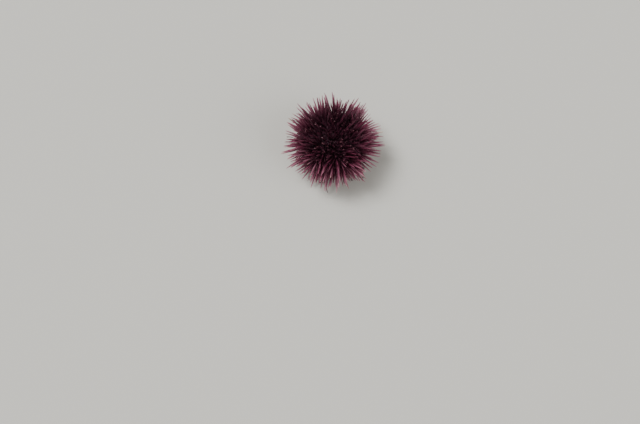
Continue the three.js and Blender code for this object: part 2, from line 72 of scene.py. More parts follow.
focal_pixels = LENS / SENSOR * PHOTO_WIDTH
aside = (URCHIN_AT[0] - PHOTO_WIDTH / 2) / focal_pixels
above = (PHOTO_HEIGHT / 2 - URCHIN_AT[1]) / focal_pixels
middle = (cad_low + cad_high) / 2
distance = focal_pixels * (cad_high.x - cad_low.x) / URCHIN_WIDTH
back = Vector((0, -math.cos(LOOK_DOWN), math.sin(LOOK_DOWN)))
towards_urchin = Vector((aside, above, -1)).normalized()
camera_data = bpy.data.cameras.new("camera")
camera_data.lens = LENS
camera_data.sensor_width = SENSOR
camera = bpy.data.objects.new("camera", camera_data)
camera.rotation_mode = "QUATERNION"
camera.location = middle + back * distance
straight = (-back).to_track_quat("-Z", "Y")
camera.rotation_quaternion = straight @ towards_urchin.rotation_difference(Vector((0, 0, -1)))
bpy.context.scene.collection.objects.link(camera)
bpy.context.scene.camera = camera


# Floor and light
# A plain pale table in a studio, under a wide soft lamp from the upper left and a weaker one from the right.
# Pale walls all round run down into the table. None of it belongs to the urchin.
def linear(colour):
    """An sRGB hex colour as the linear numbers that a shader takes."""
    parts = [int(colour[i:i + 2], 16) / 255 for i in (1, 3, 5)]
    return tuple(c / 12.92 if c <= 0.04045 else ((c + 0.055) / 1.055) ** 2.4 for c in parts) + (1,)


def new_material(name):
    """An empty material with its surface shader, which is linked to the output."""
    material = bpy.data.materials.new(name)
    material.use_nodes = True
    nodes = material.node_tree.nodes
    nodes.clear()
    output = nodes.new("ShaderNodeOutputMaterial")
    surface = nodes.new("ShaderNodeBsdfPrincipled")
    material.node_tree.links.new(surface.outputs[0], output.inputs[0])
    return material, surface


def feed(material, node, inputs):
    """Gives a node its inputs, each of them a number, a colour or another node's socket."""
    for name, value in inputs.items():
        if isinstance(value, bpy.types.NodeSocket):
            material.node_tree.links.new(value, node.inputs[name])
        else:
            node.inputs[name].default_value = value


def add_node(material, kind, inputs=None, stops=None, **settings):
    """Adds a node with its settings and inputs. stops are the places and colours of a ramp."""
    node = material.node_tree.nodes.new(kind)
    for name, value in settings.items():
        setattr(node, name, value)
    feed(material, node, inputs or {})
    for i, (place, colour) in enumerate(stops or []):
        element = node.color_ramp.elements[i] if i < 2 else node.color_ramp.elements.new(place)
        element.position = place
        element.color = linear(colour)
    return node


HALF_FLOOR = 30
KEY_WIDTH = math.radians(28)
KEY_BRIGHTNESS = 3.4
FILL_WIDTH = math.radians(48)
FILL_BRIGHTNESS = 1.4
WALL_LOW = 1.12
WALL_HIGH = 0.38
WALL_TOP = 0.22
floor_mesh = bpy.data.meshes.new("floor")
floor_corners = [(x * HALF_FLOOR, y * HALF_FLOOR, 0) for x, y in [(-1, -1), (1, -1), (1, 1), (-1, 1)]]
floor_mesh.from_pydata(floor_corners, [], [(0, 1, 2, 3)])
floor = bpy.data.objects.new("floor", floor_mesh)
bpy.context.scene.collection.objects.link(floor)
# Matt wall paint on a board: an even pale grey with no grain at this distance.
paint, paint_surface = new_material("matt_painted_table")
feed(paint, paint_surface, {"Base Color": linear("#CFCDC6"), "Roughness": 0.85})
floor_mesh.materials.append(paint)


def add_lamp(name, place, width, brightness):
    """A soft lamp that lights the whole table evenly. width is how wide it looks from the urchin."""
    lamp_data = bpy.data.lights.new(name, "SUN")
    lamp_data.angle = width
    lamp_data.energy = brightness
    lamp = bpy.data.objects.new(name, lamp_data)
    lamp.location = place
    lamp.rotation_mode = "QUATERNION"
    lamp.rotation_quaternion = (Vector(place) - middle).to_track_quat("Z", "Y")
    bpy.context.scene.collection.objects.link(lamp)


add_lamp("key_lamp", (-0.45, 0.25, 0.75), KEY_WIDTH, KEY_BRIGHTNESS)
add_lamp("fill_lamp", (0.7, -0.35, 0.45), FILL_WIDTH, FILL_BRIGHTNESS)
world = bpy.data.worlds.new("pale_walls")
world.use_nodes = True
walls = world.node_tree.nodes["Background"]
direction = add_node(world, "ShaderNodeTexCoord")
upward = add_node(world, "ShaderNodeSeparateXYZ", {"Vector": direction.outputs["Generated"]})
brightness = add_node(
    world, "ShaderNodeMapRange",
    {"Value": upward.outputs["Z"], "From Max": WALL_TOP, "To Min": WALL_LOW, "To Max": WALL_HIGH},
    interpolation_type="SMOOTHSTEP",
)
feed(world, walls, {"Color": linear("#E6E6E2"), "Strength": brightness.outputs[0]})
bpy.context.scene.world = world


# The shape of the test
# The test is a flattened globe of calcite plates under thin living skin, with the crown on top and the mouth
# below. Lengths from here on are in millimetres, measured from the urchin's own axis at floor level.
TEST_RADIUS = 25
CROWN_RISE = 14.5
KEEL_DROP = 11.5
KEEL_SQUARENESS = 2.6
LIFT = 7.5
RING_Z = LIFT + KEEL_DROP
APICAL_RADIUS = 5.6
PERISTOME_RADIUS = 9.6
SEAM = 0.3
RAYS = 5
RAY_TURN = 2 * math.pi / RAYS
FIRST_RAY = math.pi / 2
AMBULACRUM_HALF = math.radians(15)
INTER_HALF = RAY_TURN / 2 - AMBULACRUM_HALF
SMALL_TURN = 0.001
MM = 0.001
WELD = 1e-7


def meridian(angle):
    """Radius and height of the test at an angle: 90 degrees at the top, 0 at the widest ring, -90 below."""
    c = np.maximum(0, np.cos(angle))
    s = np.abs(np.sin(angle))
    power = np.where(np.asarray(angle) >= 0, 1, 2 / KEEL_SQUARENESS)
    rise = np.where(np.asarray(angle) >= 0, CROWN_RISE, -KEEL_DROP)
    return TEST_RADIUS * c**power, RING_Z + rise * s**power


TOP_ANGLE = math.acos(APICAL_RADIUS / TEST_RADIUS)
LOW_ANGLE = -math.acos((PERISTOME_RADIUS / TEST_RADIUS) ** (KEEL_SQUARENESS / 2))
WALK_STEPS = 800
walk_angles = np.linspace(TOP_ANGLE, LOW_ANGLE, WALK_STEPS + 1)
walk_r, walk_z = meridian(walk_angles)
walk_lengths = np.concatenate([[0], np.cumsum(np.hypot(np.diff(walk_r), np.diff(walk_z)))])
MERIDIAN_LENGTH = walk_lengths[-1]


def angle_at(s):
    """The meridian's angle at a length walked down it from the crown."""
    return np.interp(s, walk_lengths, walk_angles)


def skin_at(angle, azimuth):
    """Points of the test with their outward normals, and its directions eastward and downward there."""
    r, z = meridian(angle)
    next_r, next_z = meridian(angle - SMALL_TURN)
    step = np.hypot(next_r - r, next_z - z)
    dr = (next_r - r) / step
    dz = (next_z - z) / step
    c = np.cos(azimuth)
    s = np.sin(azimuth)
    zero = np.zeros_like(c)
    return {
        "point": np.stack([r * c, r * s, z + zero], -1),
        "normal": np.stack([-dz * c, -dz * s, dr + zero], -1),
        "east": np.stack([-s, c, zero], -1),
        "down": np.stack([dr * c, dr * s, dz + zero], -1),
    }


mouth_low, mouth_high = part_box("peristome")
axis_place = Vector(((mouth_low.x + mouth_high.x) / 2, (mouth_low.y + mouth_high.y) / 2, 0))


def add_rings(name, rings, material, along=None, tint=None, patch=None, loop=False):
    """One joined mesh of closed tubes. rings has a row of points round each ring of each tube, and its ends
    are capped unless it is a loop. along runs from 0 at the root to 1, tint is a number for each tube, and
    patch is the corner and size of each tube's share of the unwrap."""
    if loop:
        rings = np.concatenate([rings, rings[:, :1]], 1)
    tubes, rows, sides = rings.shape[:3]
    place = np.arange(tubes * rows * sides).reshape(tubes, rows, sides)
    right = np.roll(place, -1, axis=2)
    walls = np.stack([place[:, :-1], right[:, :-1], right[:, 1:], place[:, 1:]], -1).reshape(-1, 4)
    caps = np.concatenate([place[:, 0, ::-1], place[:, -1]])[:0 if loop else None]
    mesh = bpy.data.meshes.new(name)
    mesh.vertices.add(rings.size // 3)
    points = rings.reshape(-1, 3) * MM + np.array(axis_place)
    mesh.vertices.foreach_set("co", points.astype(np.float32).ravel())
    corners = np.concatenate([walls.ravel(), caps.ravel()])
    wall_starts = np.arange(len(walls)) * 4
    cap_starts = walls.size + np.arange(len(caps)) * sides
    mesh.loops.add(len(corners))
    mesh.loops.foreach_set("vertex_index", corners.astype(np.int32))
    mesh.polygons.add(len(walls) + len(caps))
    mesh.polygons.foreach_set("loop_start", np.concatenate([wall_starts, cap_starts]).astype(np.int32))
    mesh.update(calc_edges=True)
    mesh.polygons.foreach_set("use_smooth", np.ones(len(mesh.polygons), bool))

    if patch is None:
        corner = [np.arange(tubes) / tubes, np.zeros(tubes)]
        patch = np.stack([*corner, np.ones(tubes) / tubes, np.ones(tubes)], -1)
    across = np.broadcast_to((np.arange(sides) / sides)[None, None, :], (tubes, rows, sides))
    up = np.broadcast_to((np.arange(rows) / (rows - 1))[None, :, None], (tubes, rows, sides))
    corner_across = np.stack([across[:, :-1], across[:, :-1] + 1 / sides] * 2, -1)[..., [0, 1, 3, 2]]
    corner_up = np.stack([up[:, :-1], up[:, :-1], up[:, 1:], up[:, 1:]], -1)
    wall_uv = np.stack([corner_across, corner_up], -1).reshape(tubes, -1, 2)
    turn = 2 * math.pi * np.arange(sides) / sides
    dot = np.stack([0.5 + 0.4 * np.cos(turn), 0.5 + 0.4 * np.sin(turn)], -1) / rows
    first_dot = np.broadcast_to(dot[::-1], (tubes, sides, 2))
    last_dot = np.broadcast_to(dot + [0, 1 - 1 / rows], (tubes, sides, 2))
    wall_uv = patch[:, None, :2] + wall_uv * patch[:, None, 2:]
    first_uv = patch[:, None, :2] + first_dot * patch[:, None, 2:]
    last_uv = patch[:, None, :2] + last_dot * patch[:, None, 2:]
    cap_uv = np.concatenate([first_uv.reshape(-1, 2), last_uv.reshape(-1, 2)])[:0 if loop else None]
    uv = np.concatenate([wall_uv.reshape(-1, 2), cap_uv])
    layer = mesh.uv_layers.new(name="OFBake")
    layer.uv.foreach_set("vector", uv.astype(np.float32).ravel())

    for title, value in {"along": along, "tint": tint}.items():
        if value is None:
            continue
        value = np.asarray(value, float)
        while value.ndim < 3:
            value = value[..., None]
        field = mesh.attributes.new(title, "FLOAT", "POINT")
        spread = np.broadcast_to(value, (tubes, rows, sides))
        field.data.foreach_set("value", spread.astype(np.float32).ravel())
    if loop:
        shaped = bmesh.new()
        shaped.from_mesh(mesh)
        bmesh.ops.remove_doubles(shaped, verts=shaped.verts, dist=WELD)
        shaped.to_mesh(mesh)
        shaped.free()
    mesh.validate()
    piece = bpy.data.objects.new(name, mesh)
    bpy.context.scene.collection.objects.link(piece)
    mesh.materials.append(material)
    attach(piece, "root")
    return piece


# Where the spines and tube feet grow
# Spines stand in rows and columns on each zone, the same ones that the solids carry. Neighbours lean
# together in loose tufts with partings, as the photograph shows, and those too close are eased apart.
REACH_AT_CROWN = 12.5
REACH_AT_RING = 18.5
REACH_BELOW = 7.6
SPINE_BASE = 1.0
ROOT_CLEAR = 2.1
EDGE_CLEAR = 1.6
ROW_PITCH = 3.05
FIRST_ROW = 0.4
LAST_ROOT = 1.2
ROW_SCATTER = 0.16
SIDE_SCATTER = 0.5
LEAN_SCATTER = 0.1
LEAST_SHARE = 0.9
SHARE_SPREAD = 0.18
YOUNG_SHARE = 0.07
YOUNG_REACH = 0.6
LEAST_THICKNESS = 0.4
STANDING_SHARE = 0.55
LEAST_SLACK = 0.8
SLACK_SPREAD = 0.13
INTER_COLUMNS = [(0.42, 0.5, 1), (-0.42, 0, 1), (0, 0.25, 0.84), (0.78, 0, 0.88), (-0.78, 0.5, 0.88)]
AMBULACRUM_COLUMNS = [(0.27, 0, 0.96), (-0.27, 0.5, 0.96), (0.62, 0.6, 0.8), (-0.62, 0.1, 0.8)]
TUBE_RADIUS = 0.36
SUCKER_RADIUS = 0.85
TUBE_PITCH = 6.4
TUBE_EDGE = 1.0
TUBE_STRETCH = 19
FIRST_TUBE = 0.55
LAST_TUBE = 1.5
TUBE_STAGGER = 0.25
TUBE_SCATTER = 0.3
TUBE_CLEAR = 0.72
TUBE_PAST = 2
TUBE_SHARE = 0.55
TUBE_SHARE_SPREAD = 0.25
TUBE_HANG = 0.6
TUBE_DROOP = 0.1
GENITAL_SPINES = [(4.75, 0, 10.5), (3.45, 0.33, 8), (3.45, -0.33, 7)]
OCULAR_SPINE = (5.0, 0, 9)
PLATE_SPINE_BASE = 0.5
PLATE_SPINE_SPLAY = 0.15
TUFT_LEAN = 0.2
WAVE_LEAN = 0.07
CROWN_SPLAY = 0.1
UNDER_TUCK = 0.16
QUILL_CLEAR = 0.4
EASING_ROUNDS = 60
EASE_SHARE = 0.4
EASE_ARM = 4
TINY = 1e-9
NEIGHBOUR_REACH = 14
SEED = 20261


def reach_at(angle):
    """Reach of a full spine, longest at the widest ring."""
    share = angle / np.where(np.asarray(angle) >= 0, TOP_ANGLE, LOW_ANGLE)
    end = np.where(np.asarray(angle) >= 0, REACH_AT_CROWN, REACH_BELOW)
    power = np.where(np.asarray(angle) >= 0, 2.6, 1.5)
    return REACH_AT_RING + (end - REACH_AT_RING) * share**power


def lean_at(angle, azimuth):
    """How far the spines of a place lean eastward and downward together."""
    crown = np.maximum(0, angle / TOP_ANGLE)
    below = np.maximum(0, angle / LOW_ANGLE)
    east = TUFT_LEAN * np.sin(7 * azimuth + math.pi) + WAVE_LEAN * np.sin(12 * azimuth - 4 * angle + 2)
    down = WAVE_LEAN * np.sin(5 * azimuth + 4 * angle + 1.3) + CROWN_SPLAY * crown - UNDER_TUCK * below
    return east, down


def seeded(seed):
    """A stream of numbers from 0 to 1 that is the same each time."""
    state = seed
    whole = 0xFFFFFFFF
    while True:
        state = (state + 0x6D2B79F5) & whole
        t = (state ^ state >> 15) * (state | 1) & whole
        t ^= t + ((t ^ t >> 7) * (t | 61) & whole) & whole
        yield ((t ^ t >> 14) & whole) / (whole + 1)


def leaning(skin, east, down):
    """The skin's normal, leaned over and made one long again."""
    east, down = (np.asarray(lean)[..., None] for lean in (east, down))
    way = skin["normal"] + skin["east"] * east + skin["down"] * down
    return way / np.linalg.norm(way, axis=-1, keepdims=True)


draws = seeded(SEED)
quills = []


def roots_clear(point, least):
    return all(np.linalg.norm(q["root"] - point) > least for q in quills)


def plant_plate_spine(place, bearing, spine):
    radius, turn, reach = spine
    a, b, c = (next(draws) for _ in range(3))
    skin = skin_at(math.acos(radius / TEST_RADIUS), bearing + turn)
    way = leaning(skin, LEAN_SCATTER * (b - 0.5), PLATE_SPINE_SPLAY + LEAN_SCATTER * (c - 0.5))
    quills.append({"place": place, "root": skin["point"], "way": way, "length": reach,
                   "base": PLATE_SPINE_BASE, "tip": 0, "stands": False, "slack": 1, "tint": a})


def plant_spine(place, bearing, half, column, row):
    at, shift, share = column
    a, b, c, d, e, f = (next(draws) for _ in range(6))
    s = (row + FIRST_ROW + shift + ROW_SCATTER * (a - 0.5)) * ROW_PITCH
    if s > MERIDIAN_LENGTH - LAST_ROOT:
        return
    angle = angle_at(s)
    r = meridian(angle)[0]
    x = at * r * half + SIDE_SCATTER * (b - 0.5)
    if r * half - abs(x) < EDGE_CLEAR:
        return
    azimuth = bearing + x / r
    skin = skin_at(angle, azimuth)
    if not roots_clear(skin["point"], ROOT_CLEAR):
        return
    east, down = lean_at(angle, azimuth)
    way = leaning(skin, east + LEAN_SCATTER * (c + d - 1), down + LEAN_SCATTER * (d - c))
    age = YOUNG_REACH if e < YOUNG_SHARE else 1
    length = reach_at(angle) * share * (LEAST_SHARE + SHARE_SPREAD * e) * age
    base = SPINE_BASE * math.sqrt(max(LEAST_THICKNESS, length / REACH_AT_RING))
    slack = LEAST_SLACK + SLACK_SPREAD * (f - STANDING_SHARE) / (1 - STANDING_SHARE)
    quills.append({"place": place, "root": skin["point"], "way": way, "length": length,
                   "base": base, "tip": 0, "stands": f < STANDING_SHARE, "slack": slack, "tint": a})


def plant_tube(bearing, side, row):
    a, b, c = (next(draws) for _ in range(3))
    s = (row + FIRST_TUBE + TUBE_STAGGER * side + TUBE_SCATTER * (a - 0.5)) * TUBE_PITCH
    if s > MERIDIAN_LENGTH - LAST_TUBE:
        return
    angle = angle_at(s)
    r = meridian(angle)[0]
    x = side * (r * AMBULACRUM_HALF - TUBE_EDGE)
    if r * AMBULACRUM_HALF < 2 * TUBE_EDGE:
        return
    azimuth = bearing + x / r
    skin = skin_at(angle, azimuth)
    if not roots_clear(skin["point"], ROOT_CLEAR * TUBE_CLEAR):
        return
    east = lean_at(angle, azimuth)[0] + TUBE_SCATTER * (b - 0.5)
    way = leaning(skin, east, TUBE_HANG if angle < 0 else TUBE_DROOP)
    to_floor = -skin["point"][2] / way[2] if way[2] < 0 else math.inf
    free = reach_at(angle) * (TUBE_SHARE + TUBE_SHARE_SPREAD * c)
    length = to_floor + TUBE_PAST if to_floor < TUBE_STRETCH else free
    quills.append({"place": "tube", "root": skin["point"], "way": way, "length": length,
                   "base": TUBE_RADIUS, "tip": SUCKER_RADIUS, "stands": True, "slack": 1, "tint": b})


def ray_azimuth(k):
    return FIRST_RAY + k * RAY_TURN


def inter_azimuth(k):
    return ray_azimuth(k) + RAY_TURN / 2


for k in range(RAYS):
    for spine in GENITAL_SPINES[:1] if k == 0 else GENITAL_SPINES:
        plant_plate_spine("crown", inter_azimuth(k), spine)
    plant_plate_spine("crown", ray_azimuth(k), OCULAR_SPINE)
for k in range(RAYS):
    for column in AMBULACRUM_COLUMNS:
        for row in range(math.ceil(MERIDIAN_LENGTH / ROW_PITCH)):
            plant_spine("ambulacrum", ray_azimuth(k), AMBULACRUM_HALF, column, row)
    for column in INTER_COLUMNS:
        for row in range(math.ceil(MERIDIAN_LENGTH / ROW_PITCH)):
            plant_spine("interambulacrum", inter_azimuth(k), INTER_HALF, column, row)
for k in range(RAYS):
    for side in (-1, 1):
        for row in range(math.ceil(MERIDIAN_LENGTH / TUBE_PITCH)):
            plant_tube(ray_azimuth(k), side, row)

root = np.array([q["root"] for q in quills])
way = np.array([q["way"] for q in quills])
length = np.array([float(q["length"]) for q in quills])
base = np.array([q["base"] for q in quills])
tip = np.array([q["tip"] for q in quills])
tint = np.array([q["tint"] for q in quills])
place = np.array([q["place"] for q in quills])


def length_to_floor(root, way, length):
    """Length of each quill down to the floor, or its own length if it ends above."""
    fall = -way[:, 2]
    return np.where(fall > 0, np.minimum(length, root[:, 2] / np.where(fall > 0, fall, 1)), length)


def ease_apart(root, way, length, base, tip, rounds, fixed=0):
    """Turns quills that come too close to each other apart, all at once in each round. The first few can be
    fixed, and then only the others turn."""
    first, second = np.triu_indices(len(root), 1)
    near = np.linalg.norm(root[first] - root[second], axis=1) < NEIGHBOUR_REACH
    near &= second >= fixed
    first, second = first[near], second[near]
    between = root[first] - root[second]
    for _ in range(rounds):
        free = length_to_floor(root, way, length)
        p, q = way[first], way[second]
        dots = (p * q).sum(1)
        pd = (p * between).sum(1)
        qd = (q * between).sum(1)
        t = np.clip((dots * qd - pd) / np.maximum(TINY, 1 - dots * dots), 0, free[first])
        u = np.clip(dots * t + qd, 0, free[second])
        t = np.clip(dots * u - pd, 0, free[first])
        gap = q * u[:, None] - between - p * t[:, None]
        wide = np.linalg.norm(gap, axis=1)
        thick = base[first] + (tip - base)[first] * t / length[first]
        thick += base[second] + (tip - base)[second] * u / length[second]
        short = np.maximum(0, thick + QUILL_CLEAR - wide) * EASE_SHARE
        gap = gap / np.maximum(wide, TINY)[:, None]
        push = np.zeros_like(way)
        np.add.at(push, first, -gap * (short / np.maximum(t, EASE_ARM))[:, None])
        np.add.at(push, second, gap * (short / np.maximum(u, EASE_ARM))[:, None])
        push[:fixed] = 0
        way = way + push
        way = way / np.linalg.norm(way, axis=1, keepdims=True)
    return way


way = ease_apart(root, way, length, base, tip, EASING_ROUNDS)
free_length = length_to_floor(root, way, length)
stands = np.array([q["stands"] for q in quills])
slack = np.array([q["slack"] for q in quills])
reaches_floor = free_length < length
shown_length = np.where(reaches_floor & ~stands, free_length * slack, free_length)
# One spine, on the left as the photograph shows the urchin, has a pale, worn tip.
PALE_TIP_AT = (-39.6, 9)
PALE_TINT = 0.98
tip_off = np.linalg.norm((root + way * shown_length[:, None])[:, :2] - PALE_TIP_AT, axis=1)
tint[np.argmin(np.where(place == "tube", np.inf, tip_off))] = PALE_TINT


# Small spines between the large ones
# Secondary spines, about half as long, fill the gaps between the rows. They stand on smaller bosses of the
# same plates and lean with their neighbours.
SECONDARY_COUNT = 950
SECONDARY_TRIES = 9000
SECONDARY_ENDS = (0.015, 0.985)
SECONDARY_CLEAR = 1.35
SECONDARY_BASE = 0.34
SECONDARY_SHARES = (0.34, 0.62)
LONGER_BY = 0.22
LONGER_ONES = 0.3
SECONDARY_SCATTER = 0.07
SECONDARY_ROUNDS = 12
SHAFT_SHARE = 0.75
BEFORE_FLOOR = 0.93
chance = np.random.default_rng(SEED)


def scatter(count, clear, others, tries, low, high):
    """Places on the test at random but evenly, no nearer than clear to each other and to the others."""
    ring_lengths = chance.uniform(low, high, tries) * MERIDIAN_LENGTH
    kept = chance.uniform(0, TEST_RADIUS, tries) < meridian(angle_at(ring_lengths))[0]
    angles = angle_at(ring_lengths[kept])
    azimuths = chance.uniform(0, 2 * math.pi, kept.sum())
    points = skin_at(angles, azimuths)["point"]
    taken = np.empty((len(others) + count, 3))
    taken[:len(others)] = others
    found = []
    for i, point in enumerate(points):
        filled = len(others) + len(found)
        if ((taken[:filled] - point) ** 2).sum(1).min() < clear**2:
            continue
        taken[filled] = point
        found.append(i)
        if len(found) == count:
            break
    return angles[found], azimuths[found]


small_angle, small_azimuth = scatter(
    SECONDARY_COUNT, SECONDARY_CLEAR, root, SECONDARY_TRIES, *SECONDARY_ENDS
)
small_count = len(small_angle)
small_skin = skin_at(small_angle, small_azimuth)
small_east, small_down = lean_at(small_angle, small_azimuth)
small_east = small_east + chance.normal(0, SECONDARY_SCATTER, small_count)
small_down = small_down + chance.normal(0, SECONDARY_SCATTER, small_count)
small_root = small_skin["point"]
small_share = chance.uniform(*SECONDARY_SHARES, small_count)
small_share += LONGER_BY * (chance.random(small_count) < LONGER_ONES)
small_length = reach_at(small_angle) * small_share
small_way = ease_apart(
    np.concatenate([root, small_root]),
    np.concatenate([way, leaning(small_skin, small_east, small_down)]),
    np.concatenate([shown_length, small_length]),
    np.concatenate([base * SHAFT_SHARE, np.full(small_count, SECONDARY_BASE)]),
    np.concatenate([tip, np.zeros(small_count)]),
    SECONDARY_ROUNDS,
    fixed=len(root),
)[len(root):]
small_length = length_to_floor(small_root, small_way, small_length / BEFORE_FLOOR) * BEFORE_FLOOR


# The skin of the test
# One thin skin covers the whole test, over the bosses that the spines turn on and the seams between plates.
# It is soft and moist and dark plum, with painted shade that darkens it in the grooves and pores and leaves
# it redder and lighter over the raised bosses.
SKIN_SIDES = 480
SKIN_ROWS = 150
BOSS_HEIGHT = 0.55
BOSS_RADIUS = 1.15
SMALL_BOSS_HEIGHT = 0.3
SMALL_BOSS_RADIUS = 0.62
BOSS_SHOWS = 0.05
SUTURE_DEPTH = 0.16
SUTURE_WIDTH = 0.22
ZIGZAG = 0.5
PLATE_HEIGHT = 3.05
PORE_DEPTH = 0.22
PORE_SPREAD = 0.06
PORE_LANES = (0.8, 1.5)
RIM_INSET = 1.2
RIM_CLOSED = 0.05
RIM_EASE = 0.8
BLOTCH_SIZE = 3.846
WRINKLE_SIZE = 0.6667
# Painted shade by height: the skin's place on its colour ramp when flat, per height of lift, and where it
# folds in at the rims.
GROUND_SHADE_LEVEL = 0.45
SHADE_PER_RISE = 0.8
FOLD_SHADE_LEVEL = 0.2

skin_s = np.linspace(0, MERIDIAN_LENGTH, SKIN_ROWS)[:, None]
skin_azimuth = np.linspace(0, 2 * math.pi, SKIN_SIDES, endpoint=False)[None, :]
skin_angle = angle_at(skin_s) + 0 * skin_azimuth
skin = skin_at(skin_angle, skin_azimuth + 0 * skin_angle)
lift = np.zeros((SKIN_ROWS, SKIN_SIDES))
step_s = MERIDIAN_LENGTH / (SKIN_ROWS - 1)
step_turn = 2 * math.pi / SKIN_SIDES


def raise_bosses(roots, radius, height):
    """Raises a rounded boss on the skin round each root."""
    for at in roots:
        turn = math.atan2(at[1], at[0])
        row = int(round(np.interp(-at[2], -skin["point"][:, 0, 2], np.arange(SKIN_ROWS))))
        rows = slice(max(0, row - int(radius / step_s) - 2), row + int(radius / step_s) + 3)
        reach = int(radius / max(math.hypot(at[0], at[1]), 1) / step_turn + 2)
        columns = (np.arange(-reach, reach + 1) + round(turn / step_turn)) % SKIN_SIDES
        away = np.linalg.norm(skin["point"][rows][:, columns] - at, axis=-1)
        hill = height * np.clip(1 - (away / radius) ** 2, 0, 1) ** 1.5
        lift[rows, columns] = np.maximum(lift[rows, columns], hill)


zone_turn = (skin_azimuth - FIRST_RAY + RAY_TURN / 2) % RAY_TURN - RAY_TURN / 2
in_ambulacrum = np.abs(zone_turn) < AMBULACRUM_HALF
zone_middle_turn = np.where(in_ambulacrum, 0, np.sign(zone_turn) * RAY_TURN / 2)
from_middle = np.abs(zone_turn - zone_middle_turn) * meridian(skin_angle)[0]
from_edge = np.abs(np.abs(zone_turn) - AMBULACRUM_HALF) * meridian(skin_angle)[0]
zigzag = ZIGZAG * np.abs((skin_s / PLATE_HEIGHT) % 1 - 0.5)
side_shift = np.where(zone_turn > zone_middle_turn, 0.5, 0)
from_row = np.abs((skin_s / PLATE_HEIGHT + side_shift) % 1 - 0.5) * PLATE_HEIGHT
for spread in (np.abs(from_middle - zigzag), from_edge, from_row):
    lift -= SUTURE_DEPTH * np.exp(-(spread / SUTURE_WIDTH) ** 2)
pore_row = np.abs((skin_s / (PLATE_HEIGHT / 2)) % 1 - 0.5) * PLATE_HEIGHT / 2
pore_lane = np.minimum(*(np.abs(from_edge - lane) for lane in PORE_LANES))
pores = PORE_DEPTH * np.exp(-(pore_lane**2 + pore_row**2) / PORE_SPREAD)
ground_lift = lift - np.where(in_ambulacrum, pores, 0)
lift[:] = 0
raise_bosses(root[place != "crown"], BOSS_RADIUS, BOSS_HEIGHT)
raise_bosses(small_root, SMALL_BOSS_RADIUS, SMALL_BOSS_HEIGHT)
lift = np.where(lift > BOSS_SHOWS, lift, ground_lift)
edge_fade = np.minimum(1, np.minimum(skin_s, MERIDIAN_LENGTH - skin_s) / RIM_EASE)
skin_points = skin["point"] + skin["normal"] * (lift * edge_fade)[..., None]


def rim(row, drop, shrink):
    """A ring of points inside one edge of the test, so that the skin folds in there."""
    return (skin_points[row] * [shrink, shrink, 1] + [0, 0, drop])[None]


skin_rings = np.concatenate([
    rim(-1, RIM_INSET, RIM_CLOSED),
    rim(-1, RIM_INSET, 1),
    skin_points[::-1],
    rim(0, -RIM_INSET, 1),
    rim(0, -RIM_INSET, RIM_CLOSED),
])[None]
# Thin living skin, wet and finely wrinkled: an uneven dull gloss, with painted shade nearly black in the
# grooves and where the skin folds in at its rims.
skin_finish, surface = new_material("moist_plum_skin")
grain = add_node(skin_finish, "ShaderNodeTexCoord")
blotches = add_node(
    skin_finish, "ShaderNodeTexNoise",
    {"Vector": grain.outputs["Object"], "Scale": 1 / (BLOTCH_SIZE * MM), "Detail": 6},
)
wrinkles = add_node(
    skin_finish, "ShaderNodeTexNoise",
    {"Vector": grain.outputs["Object"], "Scale": 1 / (WRINKLE_SIZE * MM), "Detail": 4},
)
# Painted shade: the skin's height sets its place on the colour ramp, so grooves and pores are dark and
# bosses lighter.
shade_by_height = add_node(skin_finish, "ShaderNodeAttribute", attribute_name="along")
depth = add_node(
    skin_finish, "ShaderNodeMath",
    {0: shade_by_height.outputs["Fac"], 1: blotches.outputs["Fac"]}, operation="MULTIPLY",
)
colour = add_node(
    skin_finish, "ShaderNodeValToRGB", {"Fac": depth.outputs[0]},
    stops=[(0.05, "#200C18"), (0.7, "#6E3049"), (0.3, "#42182C")],
)
gloss = add_node(
    skin_finish, "ShaderNodeMapRange", {"Value": wrinkles.outputs["Fac"], "To Min": 0.45, "To Max": 0.7}
)
relief = add_node(
    skin_finish, "ShaderNodeBump",
    {"Height": wrinkles.outputs["Fac"], "Strength": 0.35, "Distance": 0.2 * MM},
)
feed(skin_finish, surface, {
    "Base Color": colour.outputs["Color"], "Roughness": gloss.outputs[0],
    "Normal": relief.outputs["Normal"], "IOR": 1.34, "Specular IOR Level": 0.35,
})
# Painted shade: darker in the grooves and pores, lighter on the bosses, and dark where the skin folds in at
# its rims.
skin_height_shade = np.clip(GROUND_SHADE_LEVEL + lift / SHADE_PER_RISE, 0, 1)
fold_in_shade = np.full((2, SKIN_SIDES), FOLD_SHADE_LEVEL)
skin_shade_along = np.concatenate([fold_in_shade, skin_height_shade[::-1], fold_in_shade])[None]
test_skin = add_rings("test_skin", skin_rings, skin_finish, along=skin_shade_along)
zones = [f"{kind}_{k + 1}" for kind in ("ambulacrum", "interambulacrum") for k in range(RAYS)]
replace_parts(test_skin, *zones)


# The large spines
# Each spine is one crystal of calcite with fine lengthwise ribs under purple skin. Its cupped base, held by
# a collar of muscle, turns on a boss of the test. Spines are darkest at the base and paler to the tip.
SPINE_SIDES = 24
SHAFT_RADIUS = 0.7
RIB_DEPTH = 0.09
RIBS_FROM = 1.0
RIBS_BY = 3.5
NEAR_SHARE = 0.12
BASE_STATIONS = [
    (-0.2, 0.45), (0.3, 0.8), (0.6, 1.28), (0.85, 1.32), (1.15, 1.12), (1.6, 1.0), (2.2, 0.96),
]
SHAFT_STATIONS = [
    (0.3, 0.95), (0.45, 0.9), (0.6, 0.8), (0.75, 0.66), (0.87, 0.5), (0.95, 0.34), (0.99, 0.2), (1, 0.08),
]
PATCH = 0.003
STREAK_SIZE = 1.4286
# Painted shade: spines rooted high on the crown stay dark almost to their tips, partly their own darker
# colour.
CROWN_SHADE_FROM = 0.3
CROWN_SHADE_BY = 0.8
CROWN_PIGMENT_AND_SHADE = 0.26
